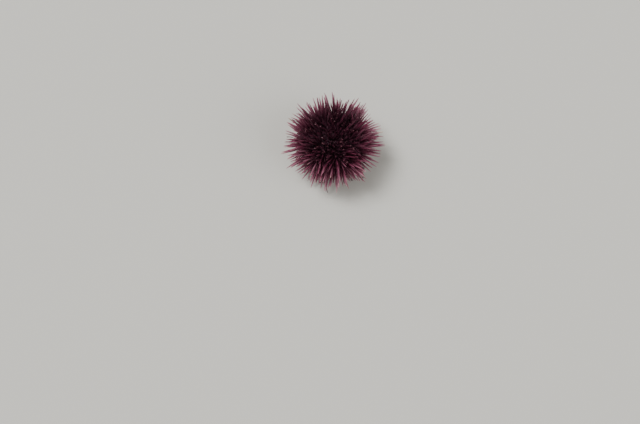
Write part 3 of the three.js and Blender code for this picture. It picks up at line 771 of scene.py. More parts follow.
# Painted light and shade: clumps on these bearings are redder and paler, and the spines between them darker,
# along with the spines' own varied colour.
RED_LIT_CLUMPS = [(195, 1.0), (158, 0.8), (120, 0.4), (18, 0.9), (315, 0.6), (282, 0.6), (240, 0.3)]
CLUMP_HALF = 13
PLAIN_PIGMENT_AND_SHADE = 0.84
CLUMP_PIGMENT_AND_LIGHT = 0.26


def frames_along(paths, side):
    """Two directions across each path at each of its points, for the points of a ring there."""
    ahead = np.gradient(paths, axis=1)
    ahead /= np.linalg.norm(ahead, axis=-1, keepdims=True)
    u = side[:, None, :] - ahead * (ahead * side[:, None, :]).sum(-1, keepdims=True)
    u /= np.linalg.norm(u, axis=-1, keepdims=True)
    return u, np.cross(ahead, u)


def rings_round(paths, radii, u, v, sides):
    """Rings of points round paths, across u and v. radii has a radius at each ring or at each point."""
    turn = 2 * math.pi * np.arange(sides) / sides
    around = np.cos(turn)[:, None] * u[:, :, None, :] + np.sin(turn)[:, None] * v[:, :, None, :]
    return paths[:, :, None, :] + radii[..., None] * around


def tube_rings(paths, radii, sides, side, waves=0, depth=0):
    """Rings round paths with a radius at each ring. waves ribs are cut, depth of the radius deep."""
    turn = 2 * math.pi * np.arange(sides) / sides
    ribs = 1 + np.asarray(depth)[..., None] * np.cos(waves * turn)
    return rings_round(paths, radii[..., None] * ribs, *frames_along(paths, side), sides)


def spine_stations(shown, thickness):
    """Distance from the root and radius at each ring of a spine, for all spines at once."""
    near = np.array(BASE_STATIONS)
    far = np.array(SHAFT_STATIONS)
    start = (near[-1, 0] * thickness)[:, None]
    near_along = near[None, :, 0] * thickness[:, None]
    far_along = start + (shown[:, None] - start) * (far[None, :, 0] - NEAR_SHARE) / (1 - NEAR_SHARE)
    shape = np.concatenate([near[:, 1], far[:, 1]])
    return np.concatenate([near_along, far_along], 1), shape[None, :] * thickness[:, None] * SHAFT_RADIUS


def east_of(roots):
    """The horizontal direction along the test at each root."""
    east = np.stack([-roots[:, 1], roots[:, 0], np.zeros(len(roots))], -1)
    return east / np.linalg.norm(east, axis=1, keepdims=True)


def patches(roots):
    """Each piece's small square at its root's place on the unwrap of the test."""
    across = np.arctan2(roots[:, 1], roots[:, 0]) / (2 * math.pi) % 1
    slide = np.interp(-roots[:, 2], -walk_z, walk_lengths) / MERIDIAN_LENGTH
    size = np.full(len(roots), PATCH)
    return np.stack([across * (1 - PATCH), slide * (1 - PATCH), size, size], -1)


def spine_finish(name, dark, middle, pale, tip_colour):
    """Calcite under thin pigmented skin: a satin gloss, with streaks that break up the colour."""
    material, surface = new_material(name)
    along = add_node(material, "ShaderNodeAttribute", attribute_name="along")
    own = add_node(material, "ShaderNodeAttribute", attribute_name="tint")
    grain = add_node(material, "ShaderNodeTexCoord")
    streaks = add_node(
        material, "ShaderNodeTexNoise",
        {"Vector": grain.outputs["Object"], "Scale": 1 / (STREAK_SIZE * MM), "Detail": 5},
    )
    shift = add_node(
        material, "ShaderNodeMapRange", {"Value": streaks.outputs["Fac"], "To Min": -0.2, "To Max": 0.2}
    )
    height = add_node(
        material, "ShaderNodeMath", {0: along.outputs["Fac"], 1: shift.outputs[0]}, operation="ADD"
    )
    pigment = add_node(
        material, "ShaderNodeValToRGB", {"Fac": height.outputs[0]},
        stops=[(0.02, dark), (1.0, tip_colour), (0.35, middle), (0.75, pale)],
    )
    faded = add_node(
        material, "ShaderNodeHueSaturation",
        {"Color": pigment.outputs["Color"], "Saturation": 0.75, "Value": 1.5},
    )
    paler = add_node(
        material, "ShaderNodeMapRange",
        {"Value": own.outputs["Fac"], "From Min": 0.55, "From Max": 1.0, "To Min": 0.0, "To Max": 0.7},
    )
    varied = add_node(
        material, "ShaderNodeMix",
        {"Factor": paler.outputs[0], 6: pigment.outputs["Color"], 7: faded.outputs["Color"]},
        data_type="RGBA",
    )
    worn_spine = add_node(
        material, "ShaderNodeMapRange", {"Value": own.outputs["Fac"], "From Min": 0.93, "From Max": 0.95}
    )
    worn_end = add_node(
        material, "ShaderNodeMapRange", {"Value": height.outputs[0], "From Min": 0.7, "From Max": 1.0}
    )
    worn = add_node(
        material, "ShaderNodeMath", {0: worn_spine.outputs[0], 1: worn_end.outputs[0]}, operation="MULTIPLY"
    )
    colour = add_node(
        material, "ShaderNodeMix", {"Factor": worn.outputs[0], 6: varied.outputs[2], 7: linear("#CDB096")},
        data_type="RGBA",
    )
    gloss = add_node(
        material, "ShaderNodeMapRange", {"Value": streaks.outputs["Fac"], "To Min": 0.28, "To Max": 0.5}
    )
    relief = add_node(
        material, "ShaderNodeBump",
        {"Height": streaks.outputs["Fac"], "Strength": 0.25, "Distance": 0.1 * MM},
    )
    feed(material, surface, {
        "Base Color": colour.outputs[2], "Roughness": gloss.outputs[0],
        "Normal": relief.outputs["Normal"], "IOR": 1.5,
    })
    return material


purple_spine = spine_finish("ribbed_purple_calcite", "#1C0C15", "#6A2A42", "#97506A", "#BE858C")


def pigment_and_shade_along(roots, share):
    """Place on the pigment's ramp at each ring. Spines of the upper side stay dark almost to their tips,
    partly their own darker colour and partly painted shade. Low on the sides clumps of redder, paler spines
    stand between darker ones, partly their own colour and partly painted light and shade."""
    height = (roots[:, 2] - RING_Z) / CROWN_RISE
    dark = np.clip((height - CROWN_SHADE_FROM) / (CROWN_SHADE_BY - CROWN_SHADE_FROM), 0, 1)
    bearing = np.degrees(np.arctan2(roots[:, 1], roots[:, 0]))
    redness_and_light = np.zeros(len(roots))
    for clump, strength in RED_LIT_CLUMPS:
        off = (bearing - clump + 180) % 360 - 180
        redness_and_light = np.maximum(redness_and_light, strength * np.exp(-(off / CLUMP_HALF) ** 2))
    level = PLAIN_PIGMENT_AND_SHADE + CLUMP_PIGMENT_AND_LIGHT * redness_and_light
    return share * (level * (1 - (1 - CROWN_PIGMENT_AND_SHADE) * dark))[:, None]


def add_spines(name, which):
    """The large spines of one kind of zone as a joined mesh."""
    shown = shown_length[which]
    distances, radii = spine_stations(shown, base[which] / SPINE_BASE)
    paths = root[which][:, None, :] + way[which][:, None, :] * distances[..., None]
    fade = np.clip((distances - RIBS_FROM) / (RIBS_BY - RIBS_FROM), 0, 1) * RIB_DEPTH
    rings = tube_rings(paths, radii, SPINE_SIDES, east_of(root[which]), SPINE_SIDES / 2, fade)
    rings[..., 2] = np.maximum(rings[..., 2], 0)
    share = pigment_and_shade_along(root[which], np.clip(distances / shown[:, None], 0, 1))
    add_rings(name, rings, purple_spine, share, tint[which], patches(root[which]))


add_spines("interambulacral_spines", place == "interambulacrum")
add_spines("ambulacral_spines", place == "ambulacrum")


# The secondary spines
# Thinner and shorter than the large spines, and made the same way, they hide most of the test between them.
SMALL_SIDES = 12
SMALL_STATIONS = [
    (-0.02, 0.8), (0.04, 1.5), (0.08, 1.45), (0.14, 1.05), (0.4, 0.95), (0.7, 0.75), (0.93, 0.4), (1, 0.12),
]
SMALL_TINTS = (0, 0.9)
small_spine = spine_finish("purple_calcite_needles", "#1C0C15", "#642A41", "#86455C", "#A86C78")


def straight(roots, ways, lengths, stations):
    """Paths of straight small pieces, with a point at each station's share of the length."""
    return roots[:, None, :] + ways[:, None, :] * (stations[None, :, 0] * lengths[:, None])[..., None]


def add_small_spines(name, roots, ways, lengths, radii, stations, sides, ribs, pale_end):
    """Small spines as a joined mesh. Stations give a share of the length and of the radius, and pale_end is
    how far up the pigment's ramp the tips are."""
    shape = np.array(stations)
    thick = radii[:, None] * shape[None, :, 1]
    paths = straight(roots, ways, lengths, shape)
    rings = tube_rings(paths, thick, sides, east_of(roots), sides / 2, np.full(thick.shape, ribs))
    share = pigment_and_shade_along(roots, np.clip(shape[:, 0], 0, 1)[None, :] * pale_end)
    add_rings(name, rings, small_spine, share, chance.uniform(*SMALL_TINTS, len(roots)), patches(roots))


add_small_spines(
    "secondary_spines", small_root, small_way, small_length, np.full(small_count, SECONDARY_BASE),
    SMALL_STATIONS, SMALL_SIDES, RIB_DEPTH, 1,
)


# The finest spines
# Miliary spines, hardly more than bristles, stand all over the test between the others.
BRISTLE_COUNT = 3000
BRISTLE_TRIES = 16000
BRISTLE_ENDS = (0.01, 0.99)
BRISTLE_CLEAR = 0.62
BRISTLE_RADIUS = 0.15
BRISTLE_SIDES = 6
BRISTLE_SCATTER = 0.16
BRISTLE_LENGTHS = (1.8, 3.4)
BRISTLE_STATIONS = [(-0.08, 0.9), (0.06, 1.3), (0.3, 0.9), (0.75, 0.65), (1, 0.2)]
bristle_angle, bristle_azimuth = scatter(
    BRISTLE_COUNT, BRISTLE_CLEAR, np.concatenate([root, small_root]), BRISTLE_TRIES, *BRISTLE_ENDS
)
bristle_skin = skin_at(bristle_angle, bristle_azimuth)
bristle_root = bristle_skin["point"]
bristle_count = len(bristle_angle)
bristle_lean = lean_at(bristle_angle, bristle_azimuth)
bristle_way = leaning(
    bristle_skin,
    bristle_lean[0] + chance.normal(0, BRISTLE_SCATTER, bristle_count),
    bristle_lean[1] + chance.normal(0, BRISTLE_SCATTER, bristle_count),
)
add_small_spines(
    "miliary_spines", bristle_root, bristle_way, chance.uniform(*BRISTLE_LENGTHS, bristle_count),
    np.full(bristle_count, BRISTLE_RADIUS), BRISTLE_STATIONS, BRISTLE_SIDES, 0, 0.8,
)


# Pedicellariae
# Tiny three jawed pincers on soft stalks keep the skin clean. Jaws are pale calcite, stalks dusky skin.
PINCER_COUNT = 420
PINCER_TRIES = 16000
PINCER_ENDS = (0.03, 0.97)
PINCER_CLEAR = 0.5
PINCER_SIDES = 9
PINCER_JAWS = 3
PINCER_SCATTER = 0.25
PINCER_LENGTHS = (3.2, 5.5)
PINCER_SWAY = 0.5
PINCER_BEND = 2.6
JAWS_FROM = 0.75
JAW_GROOVE = 0.28
PINCER_STATIONS = [
    (0, 0.1), (0.35, 0.08), (0.7, 0.08), (0.74, 0.2), (0.8, 0.34), (0.88, 0.31), (0.95, 0.2), (1, 0.07),
]
JAW_GRAIN = 0.4


def grained_finish(name, stops, grain_size, detail, uneven, roughness, ior=1.5, relief=0):
    """A colour that runs along the piece from its root, made uneven by a fine grain that may have relief."""
    material, surface = new_material(name)
    along = add_node(material, "ShaderNodeAttribute", attribute_name="along")
    here = add_node(material, "ShaderNodeTexCoord")
    grain = add_node(
        material, "ShaderNodeTexNoise",
        {"Vector": here.outputs["Object"], "Scale": 1 / (grain_size * MM), "Detail": detail},
    )
    shift = add_node(
        material, "ShaderNodeMapRange", {"Value": grain.outputs["Fac"], "To Min": -uneven, "To Max": uneven}
    )
    height = add_node(
        material, "ShaderNodeMath", {0: along.outputs["Fac"], 1: shift.outputs[0]}, operation="ADD"
    )
    colour = add_node(material, "ShaderNodeValToRGB", {"Fac": height.outputs[0]}, stops=stops)
    feed(material, surface, {"Base Color": colour.outputs["Color"], "Roughness": roughness, "IOR": ior})
    if relief:
        bump = add_node(
            material, "ShaderNodeBump",
            {"Height": grain.outputs["Fac"], "Strength": relief, "Distance": 0.1 * MM},
        )
        feed(material, surface, {"Normal": bump.outputs["Normal"]})
    return material


pincer_others = np.concatenate([root, small_root, bristle_root])
pincer_angle, pincer_azimuth = scatter(
    PINCER_COUNT, PINCER_CLEAR, pincer_others, PINCER_TRIES, *PINCER_ENDS
)
pincer_skin = skin_at(pincer_angle, pincer_azimuth)
pincer_root = pincer_skin["point"]
pincer_count = len(pincer_angle)
pincer_way = leaning(
    pincer_skin,
    chance.normal(0, PINCER_SCATTER, pincer_count),
    chance.normal(0, PINCER_SCATTER, pincer_count),
)
pincer_shape = np.array(PINCER_STATIONS)
pincer_length = chance.uniform(*PINCER_LENGTHS, pincer_count)
sway = east_of(pincer_root)[:, None, :] * chance.uniform(-PINCER_SWAY, PINCER_SWAY, (pincer_count, 1, 1))
bend = np.sin(pincer_shape[:, 0] * PINCER_BEND)[None, :, None]
pincer_paths = straight(pincer_root, pincer_way, pincer_length, pincer_shape) + sway * bend
each_pincer = np.ones((pincer_count, 1))
jaw_grooves = each_pincer * np.where(pincer_shape[:, 0] > JAWS_FROM, JAW_GROOVE, 0)
pincer_radii = each_pincer * pincer_shape[:, 1]
pincer_rings = tube_rings(
    pincer_paths, pincer_radii, PINCER_SIDES, east_of(pincer_root), PINCER_JAWS, jaw_grooves
)
# Stalks of wet dusky skin, and jaws of calcite, smooth and paler.
pincer_finish = grained_finish(
    "pale_jaws_on_dusky_stalks", [(0.5, "#2E141F"), (0.78, "#6C4450")],
    JAW_GRAIN, detail=3, uneven=0.1, roughness=0.4,
)
add_rings(
    "pedicellariae", pincer_rings, pincer_finish,
    each_pincer * pincer_shape[:, 0], None, patches(pincer_root),
)


# Tube feet
# Soft muscular tubes reach out of the pores along both sides of each ambulacrum and end in suckers. The
# lower ones hold on to the floor with the sucker flat on it, and the others sway among the spines.
FOOT_SIDES = 10
FOOT_ROWS = 16
FOOT_NECK = 0.8
FOOT_PITCH = 1.9
FOOT_LANES = (1.0, 1.7)
FOOT_SLENDER = 0.27
FOOT_CLEAR = 1.15
NARROWEST_ZONE = 2.2
FOOT_STAGGER = 0.25
FOOT_JITTER = 0.2
FOOT_SCATTER = 0.2
FOOT_DROOP_ABOVE = (0.1, 0.15)
FOOT_DROOP_BELOW = (0.5, 0.1)
FOOT_STRETCHES = (0.3, 0.54)
FOOT_SWAYS = (0.2, 0.75)
FOOT_WAVES = (4, 8)
FOOT_SIDE_WAVE = 0.6
TURN_ROUND = (0, 6)
FOOT_ROOTED = -0.06
FOOT_RINGS = 0.12
FOOT_RING_PACE = 40
FREE_DISC = 0.74
FOOT_END = [(0.5, 1.0), (0.72, 1.5), (0.9, 2.1), (1.0, 2.25), (1.0, 1.9), (0.93, 1.2)]
NECK_ALONG = 0.85
MUSCLE_GRAIN = 1.1111
foot_is = place == "tube"
foot_root = list(root[foot_is])
foot_way = list(way[foot_is])
foot_length = list(free_length[foot_is])
foot_grips = list(reaches_floor[foot_is])
taken = list(root)
for k in range(RAYS):
    for side in (-1, 1):
        for row in range(int(MERIDIAN_LENGTH / FOOT_PITCH)):
            s = (row + 0.5 + FOOT_STAGGER * side + chance.uniform(-FOOT_JITTER, FOOT_JITTER)) * FOOT_PITCH
            angle = angle_at(s)
            r = float(meridian(angle)[0])
            x = side * (r * AMBULACRUM_HALF - FOOT_LANES[row % 2])
            foot_skin = skin_at(angle, ray_azimuth(k) + x / r)
            point = foot_skin["point"]
            sideways = chance.normal(0, FOOT_SCATTER)
            downward = chance.normal(*(FOOT_DROOP_ABOVE if angle > 0 else FOOT_DROOP_BELOW))
            stretch = chance.uniform(*FOOT_STRETCHES)
            nearest = min(np.linalg.norm(point - t) for t in taken)
            if r * AMBULACRUM_HALF < NARROWEST_ZONE or nearest < FOOT_CLEAR:
                continue
            taken.append(point)
            lean_way = leaning(foot_skin, sideways, downward)
            to_floor = -point[2] / lean_way[2] if lean_way[2] < 0 else math.inf
            grips = to_floor < TUBE_STRETCH
            foot_root.append(point)
            foot_way.append(lean_way)
            foot_length.append(to_floor if grips else float(reach_at(angle)) * stretch)
            foot_grips.append(grips)
foot_root = np.array(foot_root)
foot_way = np.array(foot_way)
foot_length = np.array(foot_length)
foot_grips = np.array(foot_grips)
foot_count = len(foot_root)

foot_share = np.linspace(FOOT_ROOTED, 1, FOOT_ROWS)
foot_east = east_of(foot_root)
foot_end_way = np.where(foot_grips[:, None], [0, 0, -1], foot_way)
foot_neck = foot_root + foot_way * foot_length[:, None] - foot_end_way * FOOT_NECK
straight_neck = foot_root[:, None, :] + (foot_neck - foot_root)[:, None, :] * foot_share[None, :, None]
wave = foot_share[None, :] * chance.uniform(*FOOT_WAVES, (foot_count, 1))
wave = np.sin(wave + chance.uniform(*TURN_ROUND, (foot_count, 1)))
wave = wave * (foot_share * (1 - foot_share) * 4)[None, :] * chance.uniform(*FOOT_SWAYS, (foot_count, 1))
foot_paths = straight_neck + wave[..., None] * foot_east[:, None, :]
side_wave = (wave * wave * FOOT_SIDE_WAVE)[..., None]
foot_paths = foot_paths + side_wave * np.cross(foot_way, foot_east)[:, None, :]
foot_shape = np.array(FOOT_END)
end_steps = (foot_shape[None, :, 0] * FOOT_NECK)[..., None]
foot_paths = np.concatenate([foot_paths, foot_neck[:, None, :] + foot_end_way[:, None, :] * end_steps], 1)
ring_start = chance.uniform(*TURN_ROUND, (foot_count, 1))
swell = 1 + FOOT_RINGS * np.sin(foot_share[None, :] * FOOT_RING_PACE + ring_start)
flare = np.where(foot_grips, 1, FREE_DISC)[:, None]
foot_radii = np.concatenate([swell, 1 + (foot_shape[:, 1] - 1) * flare], 1) * FOOT_SLENDER
u, v = frames_along(foot_paths[:, :FOOT_ROWS], foot_east)
end_u = foot_east - foot_end_way * (foot_end_way * foot_east).sum(1)[:, None]
end_u /= np.linalg.norm(end_u, axis=1)[:, None]
end_v = np.cross(foot_end_way, end_u)
u = np.concatenate([u, np.repeat(end_u[:, None], len(foot_shape), 1)], 1)
v = np.concatenate([v, np.repeat(end_v[:, None], len(foot_shape), 1)], 1)
foot_rings = rings_round(foot_paths, foot_radii[..., None], u, v, FOOT_SIDES)
foot_rings[..., 2] = np.maximum(foot_rings[..., 2], 0)
foot_along = np.concatenate([
    np.clip(foot_share, 0, 1) * NECK_ALONG, np.linspace(0.9, 1, len(foot_shape))
])
# Wet muscle, soft and dark: a bright gloss in fine bands, and a somewhat paler sucker.
foot_finish = grained_finish(
    "soft_wet_tube_feet", [(0.0, "#2C101A"), (1.0, "#623640"), (0.6, "#4E2130"), (0.9, "#582C38")],
    MUSCLE_GRAIN, detail=4, uneven=0.08, roughness=0.3, ior=1.38, relief=0.3,
)
add_rings(
    "tube_feet", foot_rings, foot_finish,
    np.tile(foot_along, (foot_count, 1)), None, patches(foot_root),
)


# The plates of the crown
# Ten small plates ring the anus: five genital plates, each with the pore of a gonad, and five oculars, one
# at the head of each ambulacrum. They are calcite under thin skin, a little domed, with grooves between.
PLATE_PROUD = 0.25
PERIPROCT_RADIUS = 2.3
OCULAR_INNER_RADIUS = 4.1
OCULAR_HALF = math.radians(14)
OUTLINE_POINTS = 72
CORNER_ROUNDS = 3
PLATE_GAP = 0.1
CORNER_TRIM = 0.04
BELOW_FLOOR = -9
PLATE_ROWS = [
    (1, BELOW_FLOOR), (1, -0.3), (0.985, -0.13), (0.95, -0.04), (0.87, 0.02), (0.76, 0.06),
    (0.62, 0.08), (0.47, 0.1), (0.32, 0.1), (0.17, 0.1), (0.03, 0.1),
]
PLATE_BLOTCH = 1.6667
PLATE_PIT = 0.3846
MADREPORITE_PIT = 0.2381
crown_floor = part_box("periproct")[0].z / MM


def polar(r, a):
    """A place in plan, at a distance from the axis and on a bearing."""
    return (r * math.cos(a), r * math.sin(a))


def rounded(outline):
    """Evenly spaced points round an outline, with its corners eased."""
    corners = np.array(outline + outline[:1])
    steps = np.concatenate([[0], np.cumsum(np.linalg.norm(np.diff(corners, axis=0), axis=1))])
    at = np.linspace(0, steps[-1], OUTLINE_POINTS, endpoint=False)
    points = np.stack([np.interp(at, steps, corners[:, i]) for i in (0, 1)], -1)
    for _ in range(CORNER_ROUNDS):
        points = (np.roll(points, 1, 0) + points * 2 + np.roll(points, -1, 0)) / 4
    return points


def dome(r):
    """Height of the top of the test at a distance from the axis."""
    return RING_Z + CROWN_RISE * np.sqrt(1 - (r / TEST_RADIUS) ** 2)


def plate_rings(outline):
    """Rings of a domed plate from its lower edge over its rim to its middle."""
    edge = rounded(outline)
    heart = edge.mean(0)
    rows = []
    for share, rise in PLATE_ROWS:
        flat = heart + (edge - heart) * share
        z = dome(np.linalg.norm(flat, axis=1)) + PLATE_PROUD + rise
        rows.append(np.column_stack([flat, np.maximum(z, crown_floor)]))
    return np.array(rows)


def genital_outline(bearing):
    """Corners of a genital plate, whose outer part narrows between two oculars."""
    inner = PERIPROCT_RADIUS + PLATE_GAP
    neck = OCULAR_INNER_RADIUS - PLATE_GAP
    outer = APICAL_RADIUS - PLATE_GAP
    half = RAY_TURN / 2 - PLATE_GAP / 2 / OCULAR_INNER_RADIUS
    shoulder = RAY_TURN / 2 - OCULAR_HALF - PLATE_GAP / APICAL_RADIUS
    corners = [
        (inner, CORNER_TRIM - half), (neck, -half), (outer, -shoulder), (APICAL_RADIUS, 0),
        (outer, shoulder), (neck, half), (inner, half - CORNER_TRIM), (inner, 0),
    ]
    return [polar(r, bearing + turn) for r, turn in corners]


def ocular_outline(bearing):
    """Corners of an ocular plate, a wedge that points to the anus."""
    outer = APICAL_RADIUS - PLATE_GAP
    corners = [(OCULAR_INNER_RADIUS, 0), (outer, -OCULAR_HALF), (outer, 0), (outer, OCULAR_HALF)]
    return [polar(r, bearing + turn) for r, turn in corners]


def plate_finish(name, dark, pale, pit_size):
    """Calcite with fine pits under thin skin: dull, with painted shade dark in the pits and a little paler
    between them.
    """
    material, surface = new_material(name)
    grain = add_node(material, "ShaderNodeTexCoord")
    pits = add_node(
        material, "ShaderNodeTexVoronoi", {"Vector": grain.outputs["Object"], "Scale": 1 / (pit_size * MM)}
    )
    blotches = add_node(
        material, "ShaderNodeTexNoise",
        {"Vector": grain.outputs["Object"], "Scale": 1 / (PLATE_BLOTCH * MM), "Detail": 5},
    )
    depth = add_node(
        material, "ShaderNodeMath",
        {0: pits.outputs["Distance"], 1: blotches.outputs["Fac"]}, operation="MULTIPLY",
    )
    # Painted shade: the colour darkens with the depth of the pits, the same depth that gives the bump.
    colour = add_node(
        material, "ShaderNodeValToRGB", {"Fac": depth.outputs[0]}, stops=[(0.05, dark), (0.4, pale)]
    )
    relief = add_node(
        material, "ShaderNodeBump", {"Height": depth.outputs[0], "Strength": 0.5, "Distance": 0.2 * MM}
    )
    feed(material, surface, {
        "Base Color": colour.outputs["Color"], "Roughness": 0.68,
        "Normal": relief.outputs["Normal"], "IOR": 1.36,
    })
    return material


plum_plate = plate_finish("plum_calcite_plate", "#180A10", "#4A2231", PLATE_PIT)
pored_plate = plate_finish("pored_madreporite", "#1E0F16", "#5E3743", MADREPORITE_PIT)
genital_rings = np.array([plate_rings(genital_outline(inter_azimuth(k))) for k in range(1, RAYS)])
genital_plates = add_rings("genital_plates", genital_rings, plum_plate)
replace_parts(genital_plates, *[f"genital_plate_{k + 1}" for k in range(1, RAYS)])
madreporite_rings = plate_rings(genital_outline(inter_azimuth(0)))[None]
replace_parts(add_rings("madreporite_plate", madreporite_rings, pored_plate), "madreporite")
ocular_rings = np.array([plate_rings(ocular_outline(ray_azimuth(k))) for k in range(RAYS)])
ocular_plates = add_rings("ocular_plates", ocular_rings, plum_plate)
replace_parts(ocular_plates, *[f"ocular_plate_{k + 1}" for k in range(RAYS)])
add_spines("crown_spines", place == "crown")


# Small spines of the crown
# The plates of the crown carry small spines too, each on a low boss, which stand up round the anus and
# half hide the plates.
CREST_COUNT = 110
CREST_TRIES = 4000
CREST_CLEAR = 0.62
CREST_RADIUS = 0.24
CREST_EDGES = (PERIPROCT_RADIUS + 0.5, APICAL_RADIUS - 0.45)
CREST_SPLAY = (-0.5, 0.3)
CREST_SCATTER = 0.1
CREST_LENGTHS = (3.0, 6.6)
CREST_USUAL = 6
CREST_STATIONS = [
    (-0.05, 1.5), (0.02, 1.7), (0.09, 1.5), (0.14, 1.0), (0.45, 0.9), (0.75, 0.65), (0.94, 0.35), (1, 0.12),
]
crest_roots = []
crest_kept = list(root[place == "crown"])
for _ in range(CREST_TRIES):
    r = chance.uniform(*CREST_EDGES)
    a = chance.uniform(0, 2 * math.pi)
    point = np.array([*polar(r, a), float(dome(r)) + PLATE_PROUD])
    if min(np.linalg.norm(point[:2] - other[:2]) for other in crest_kept) > CREST_CLEAR:
        crest_kept.append(point)
        crest_roots.append(point)
    if len(crest_roots) == CREST_COUNT:
        break
crest_roots = np.array(crest_roots)
crest_count = len(crest_roots)
crest_out = crest_roots * [1, 1, 0] / np.linalg.norm(crest_roots[:, :2], axis=1)[:, None]
crest_way = np.array([0, 0, 1]) + crest_out * chance.uniform(*CREST_SPLAY, (crest_count, 1))
crest_way = crest_way + chance.normal(0, CREST_SCATTER, (crest_count, 3))
crest_way /= np.linalg.norm(crest_way, axis=1)[:, None]
crest_length = chance.uniform(*CREST_LENGTHS, crest_count)
add_small_spines(
    "crown_small_spines", crest_roots, crest_way, crest_length,
    np.sqrt(crest_length / CREST_USUAL) * CREST_RADIUS,
    CREST_STATIONS, SMALL_SIDES, RIB_DEPTH, 1.5,
)


# Pores of the gonads
# Each genital plate has one round pore with a low raised rim near its outer point.
PORE_PLACE = 4.05
PORE_PROUD = 0.08
PORE_SIDES = 20
PORE_PROFILE = [(0.46, -0.3), (0.44, 0.1), (0.36, 0.2), (0.27, 0.17), (0.2, 0.02), (0.17, -0.25)]
LIP_PIT = 0.26316


def turned(at, profile, sides, wide=1, long=1, way=1):
    """Rings of a round piece at a place, from rows of a radius and a height. Its width and length may be
    stretched, and way is -1 for a piece that hangs, so that its rings run the other way round."""
    radius, rise = np.array(profile).T
    turn = way * 2 * math.pi * np.arange(sides) / sides
    x = (wide * radius)[:, None] * np.cos(turn)
    y = (long * radius)[:, None] * np.sin(turn)
    z = np.repeat(rise[:, None], sides, 1)
    return np.stack([x, y, z], -1) + at


pore_z = float(dome(PORE_PLACE)) + PLATE_PROUD + PORE_PROUD
pore_rings = [
    turned((*polar(PORE_PLACE, inter_azimuth(k)), pore_z), PORE_PROFILE, PORE_SIDES) for k in range(RAYS)
]
pore_lip = plate_finish("dark_pore_lip", "#12070C", "#371825", LIP_PIT)
add_rings("genital_pores", np.array(pore_rings), pore_lip)


# The periproct
# A soft disc in the middle of the crown, covered with small loose plates that lie round the anus.
ANUS_PLATES = [(1.72, 11, 0.42), (0.98, 7, 0.36)]
PEBBLE_ROWS = [(1, -0.25), (1, 0), (0.92, 0.12), (0.72, 0.2), (0.4, 0.25), (0.05, 0.26)]
PEBBLE_SIDES = 18
PEBBLE_WIDE = (0.85, 1.1)
PEBBLE_LONG = (0.75, 1.0)
PEBBLE_RISE = 0.3
PEBBLE_JITTER = (-0.08, 0.08)
PEBBLE_SWING = (-0.1, 0.1)
DISC_SIDES = 60
DISC_PROFILE = [
    (1, BELOW_FLOOR), (1, -0.15), (0.93, 0), (0.75, 0.12), (0.5, 0.28), (0.24, 0.36), (0.13, 0.3),
    (0.08, -0.1), (0.02, -0.2),
]
disc_top = RING_Z + CROWN_RISE
disc_profile = [(share, max(rise, crown_floor - disc_top)) for share, rise in DISC_PROFILE]
disc_rings = turned((0, 0, disc_top), disc_profile, DISC_SIDES, PERIPROCT_RADIUS, PERIPROCT_RADIUS)[None]
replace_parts(add_rings("periproct_disc", disc_rings, pore_lip), "periproct")
pebbles = []
for ring_radius, count, size in ANUS_PLATES:
    z = disc_top + PEBBLE_RISE * (1 - ring_radius / PERIPROCT_RADIUS)
    for i in range(count):
        r = ring_radius + chance.uniform(*PEBBLE_JITTER)
        x, y = polar(r, 2 * math.pi * (i + chance.uniform(*PEBBLE_SWING)) / count)
        wide = size * chance.uniform(*PEBBLE_WIDE)
        long = size * chance.uniform(*PEBBLE_LONG)
        pebbles.append(turned((x, y, z), PEBBLE_ROWS, PEBBLE_SIDES, wide, long))
add_rings("anal_plates", np.array(pebbles), plum_plate)


# The mouth membrane
# A tough wrinkled skin closes the underside round the mouth. Ten short buccal feet stand on oval plates near
# the lips, and small grains of calcite are scattered in the skin.
MEMBRANE_LAP = 0.15
MEMBRANE_SAG = 0.2
LIP_RADIUS = 2.5
MEMBRANE_SIDES = 240
MEMBRANE_STEPS = 26
FOLD_DEPTH = 0.07
CREASE_DEPTH = 0.05
MEMBRANE_BLOTCH = 2.2222
MEMBRANE_PEBBLE = 0.45455
membrane_low = float(meridian(LOW_ANGLE)[1]) - MEMBRANE_SAG
membrane_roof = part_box("peristome")[1].z / MM
membrane_outer = PERISTOME_RADIUS + MEMBRANE_LAP
membrane_inner = LIP_RADIUS - MEMBRANE_LAP
membrane_turn = 2 * math.pi * np.arange(MEMBRANE_SIDES) / MEMBRANE_SIDES


def membrane_z(r, a):
    """Height of the membrane's underside, which sags to the lips in fine folds."""
    slope = np.interp(r, [membrane_inner, membrane_outer * 0.6, membrane_outer], [-0.6, -0.42, 0])
    near_lip = np.clip(1 - (r - membrane_inner) / 4, 0, 1)
    folds = FOLD_DEPTH * near_lip * np.cos(30 * a + 2 * np.sin(3 * a))
    near_rim = np.clip((membrane_outer - r) / 0.5, 0, 1)
    creases = CREASE_DEPTH * np.cos(r * 7 + 0.6 * np.sin(5 * a)) * near_rim
    return membrane_low + slope + folds + creases


def ring_at(radius, height, turn):
    """One ring of points round the axis. Its radius and height may change round it."""
    return np.column_stack([radius * np.cos(turn), radius * np.sin(turn), height + 0 * turn])


membrane_rings = [ring_at(r, membrane_roof, membrane_turn) for r in (membrane_inner, membrane_outer)]
for r in np.linspace(membrane_outer, membrane_inner, MEMBRANE_STEPS):
    membrane_rings.append(ring_at(r, membrane_z(r, membrane_turn), membrane_turn))
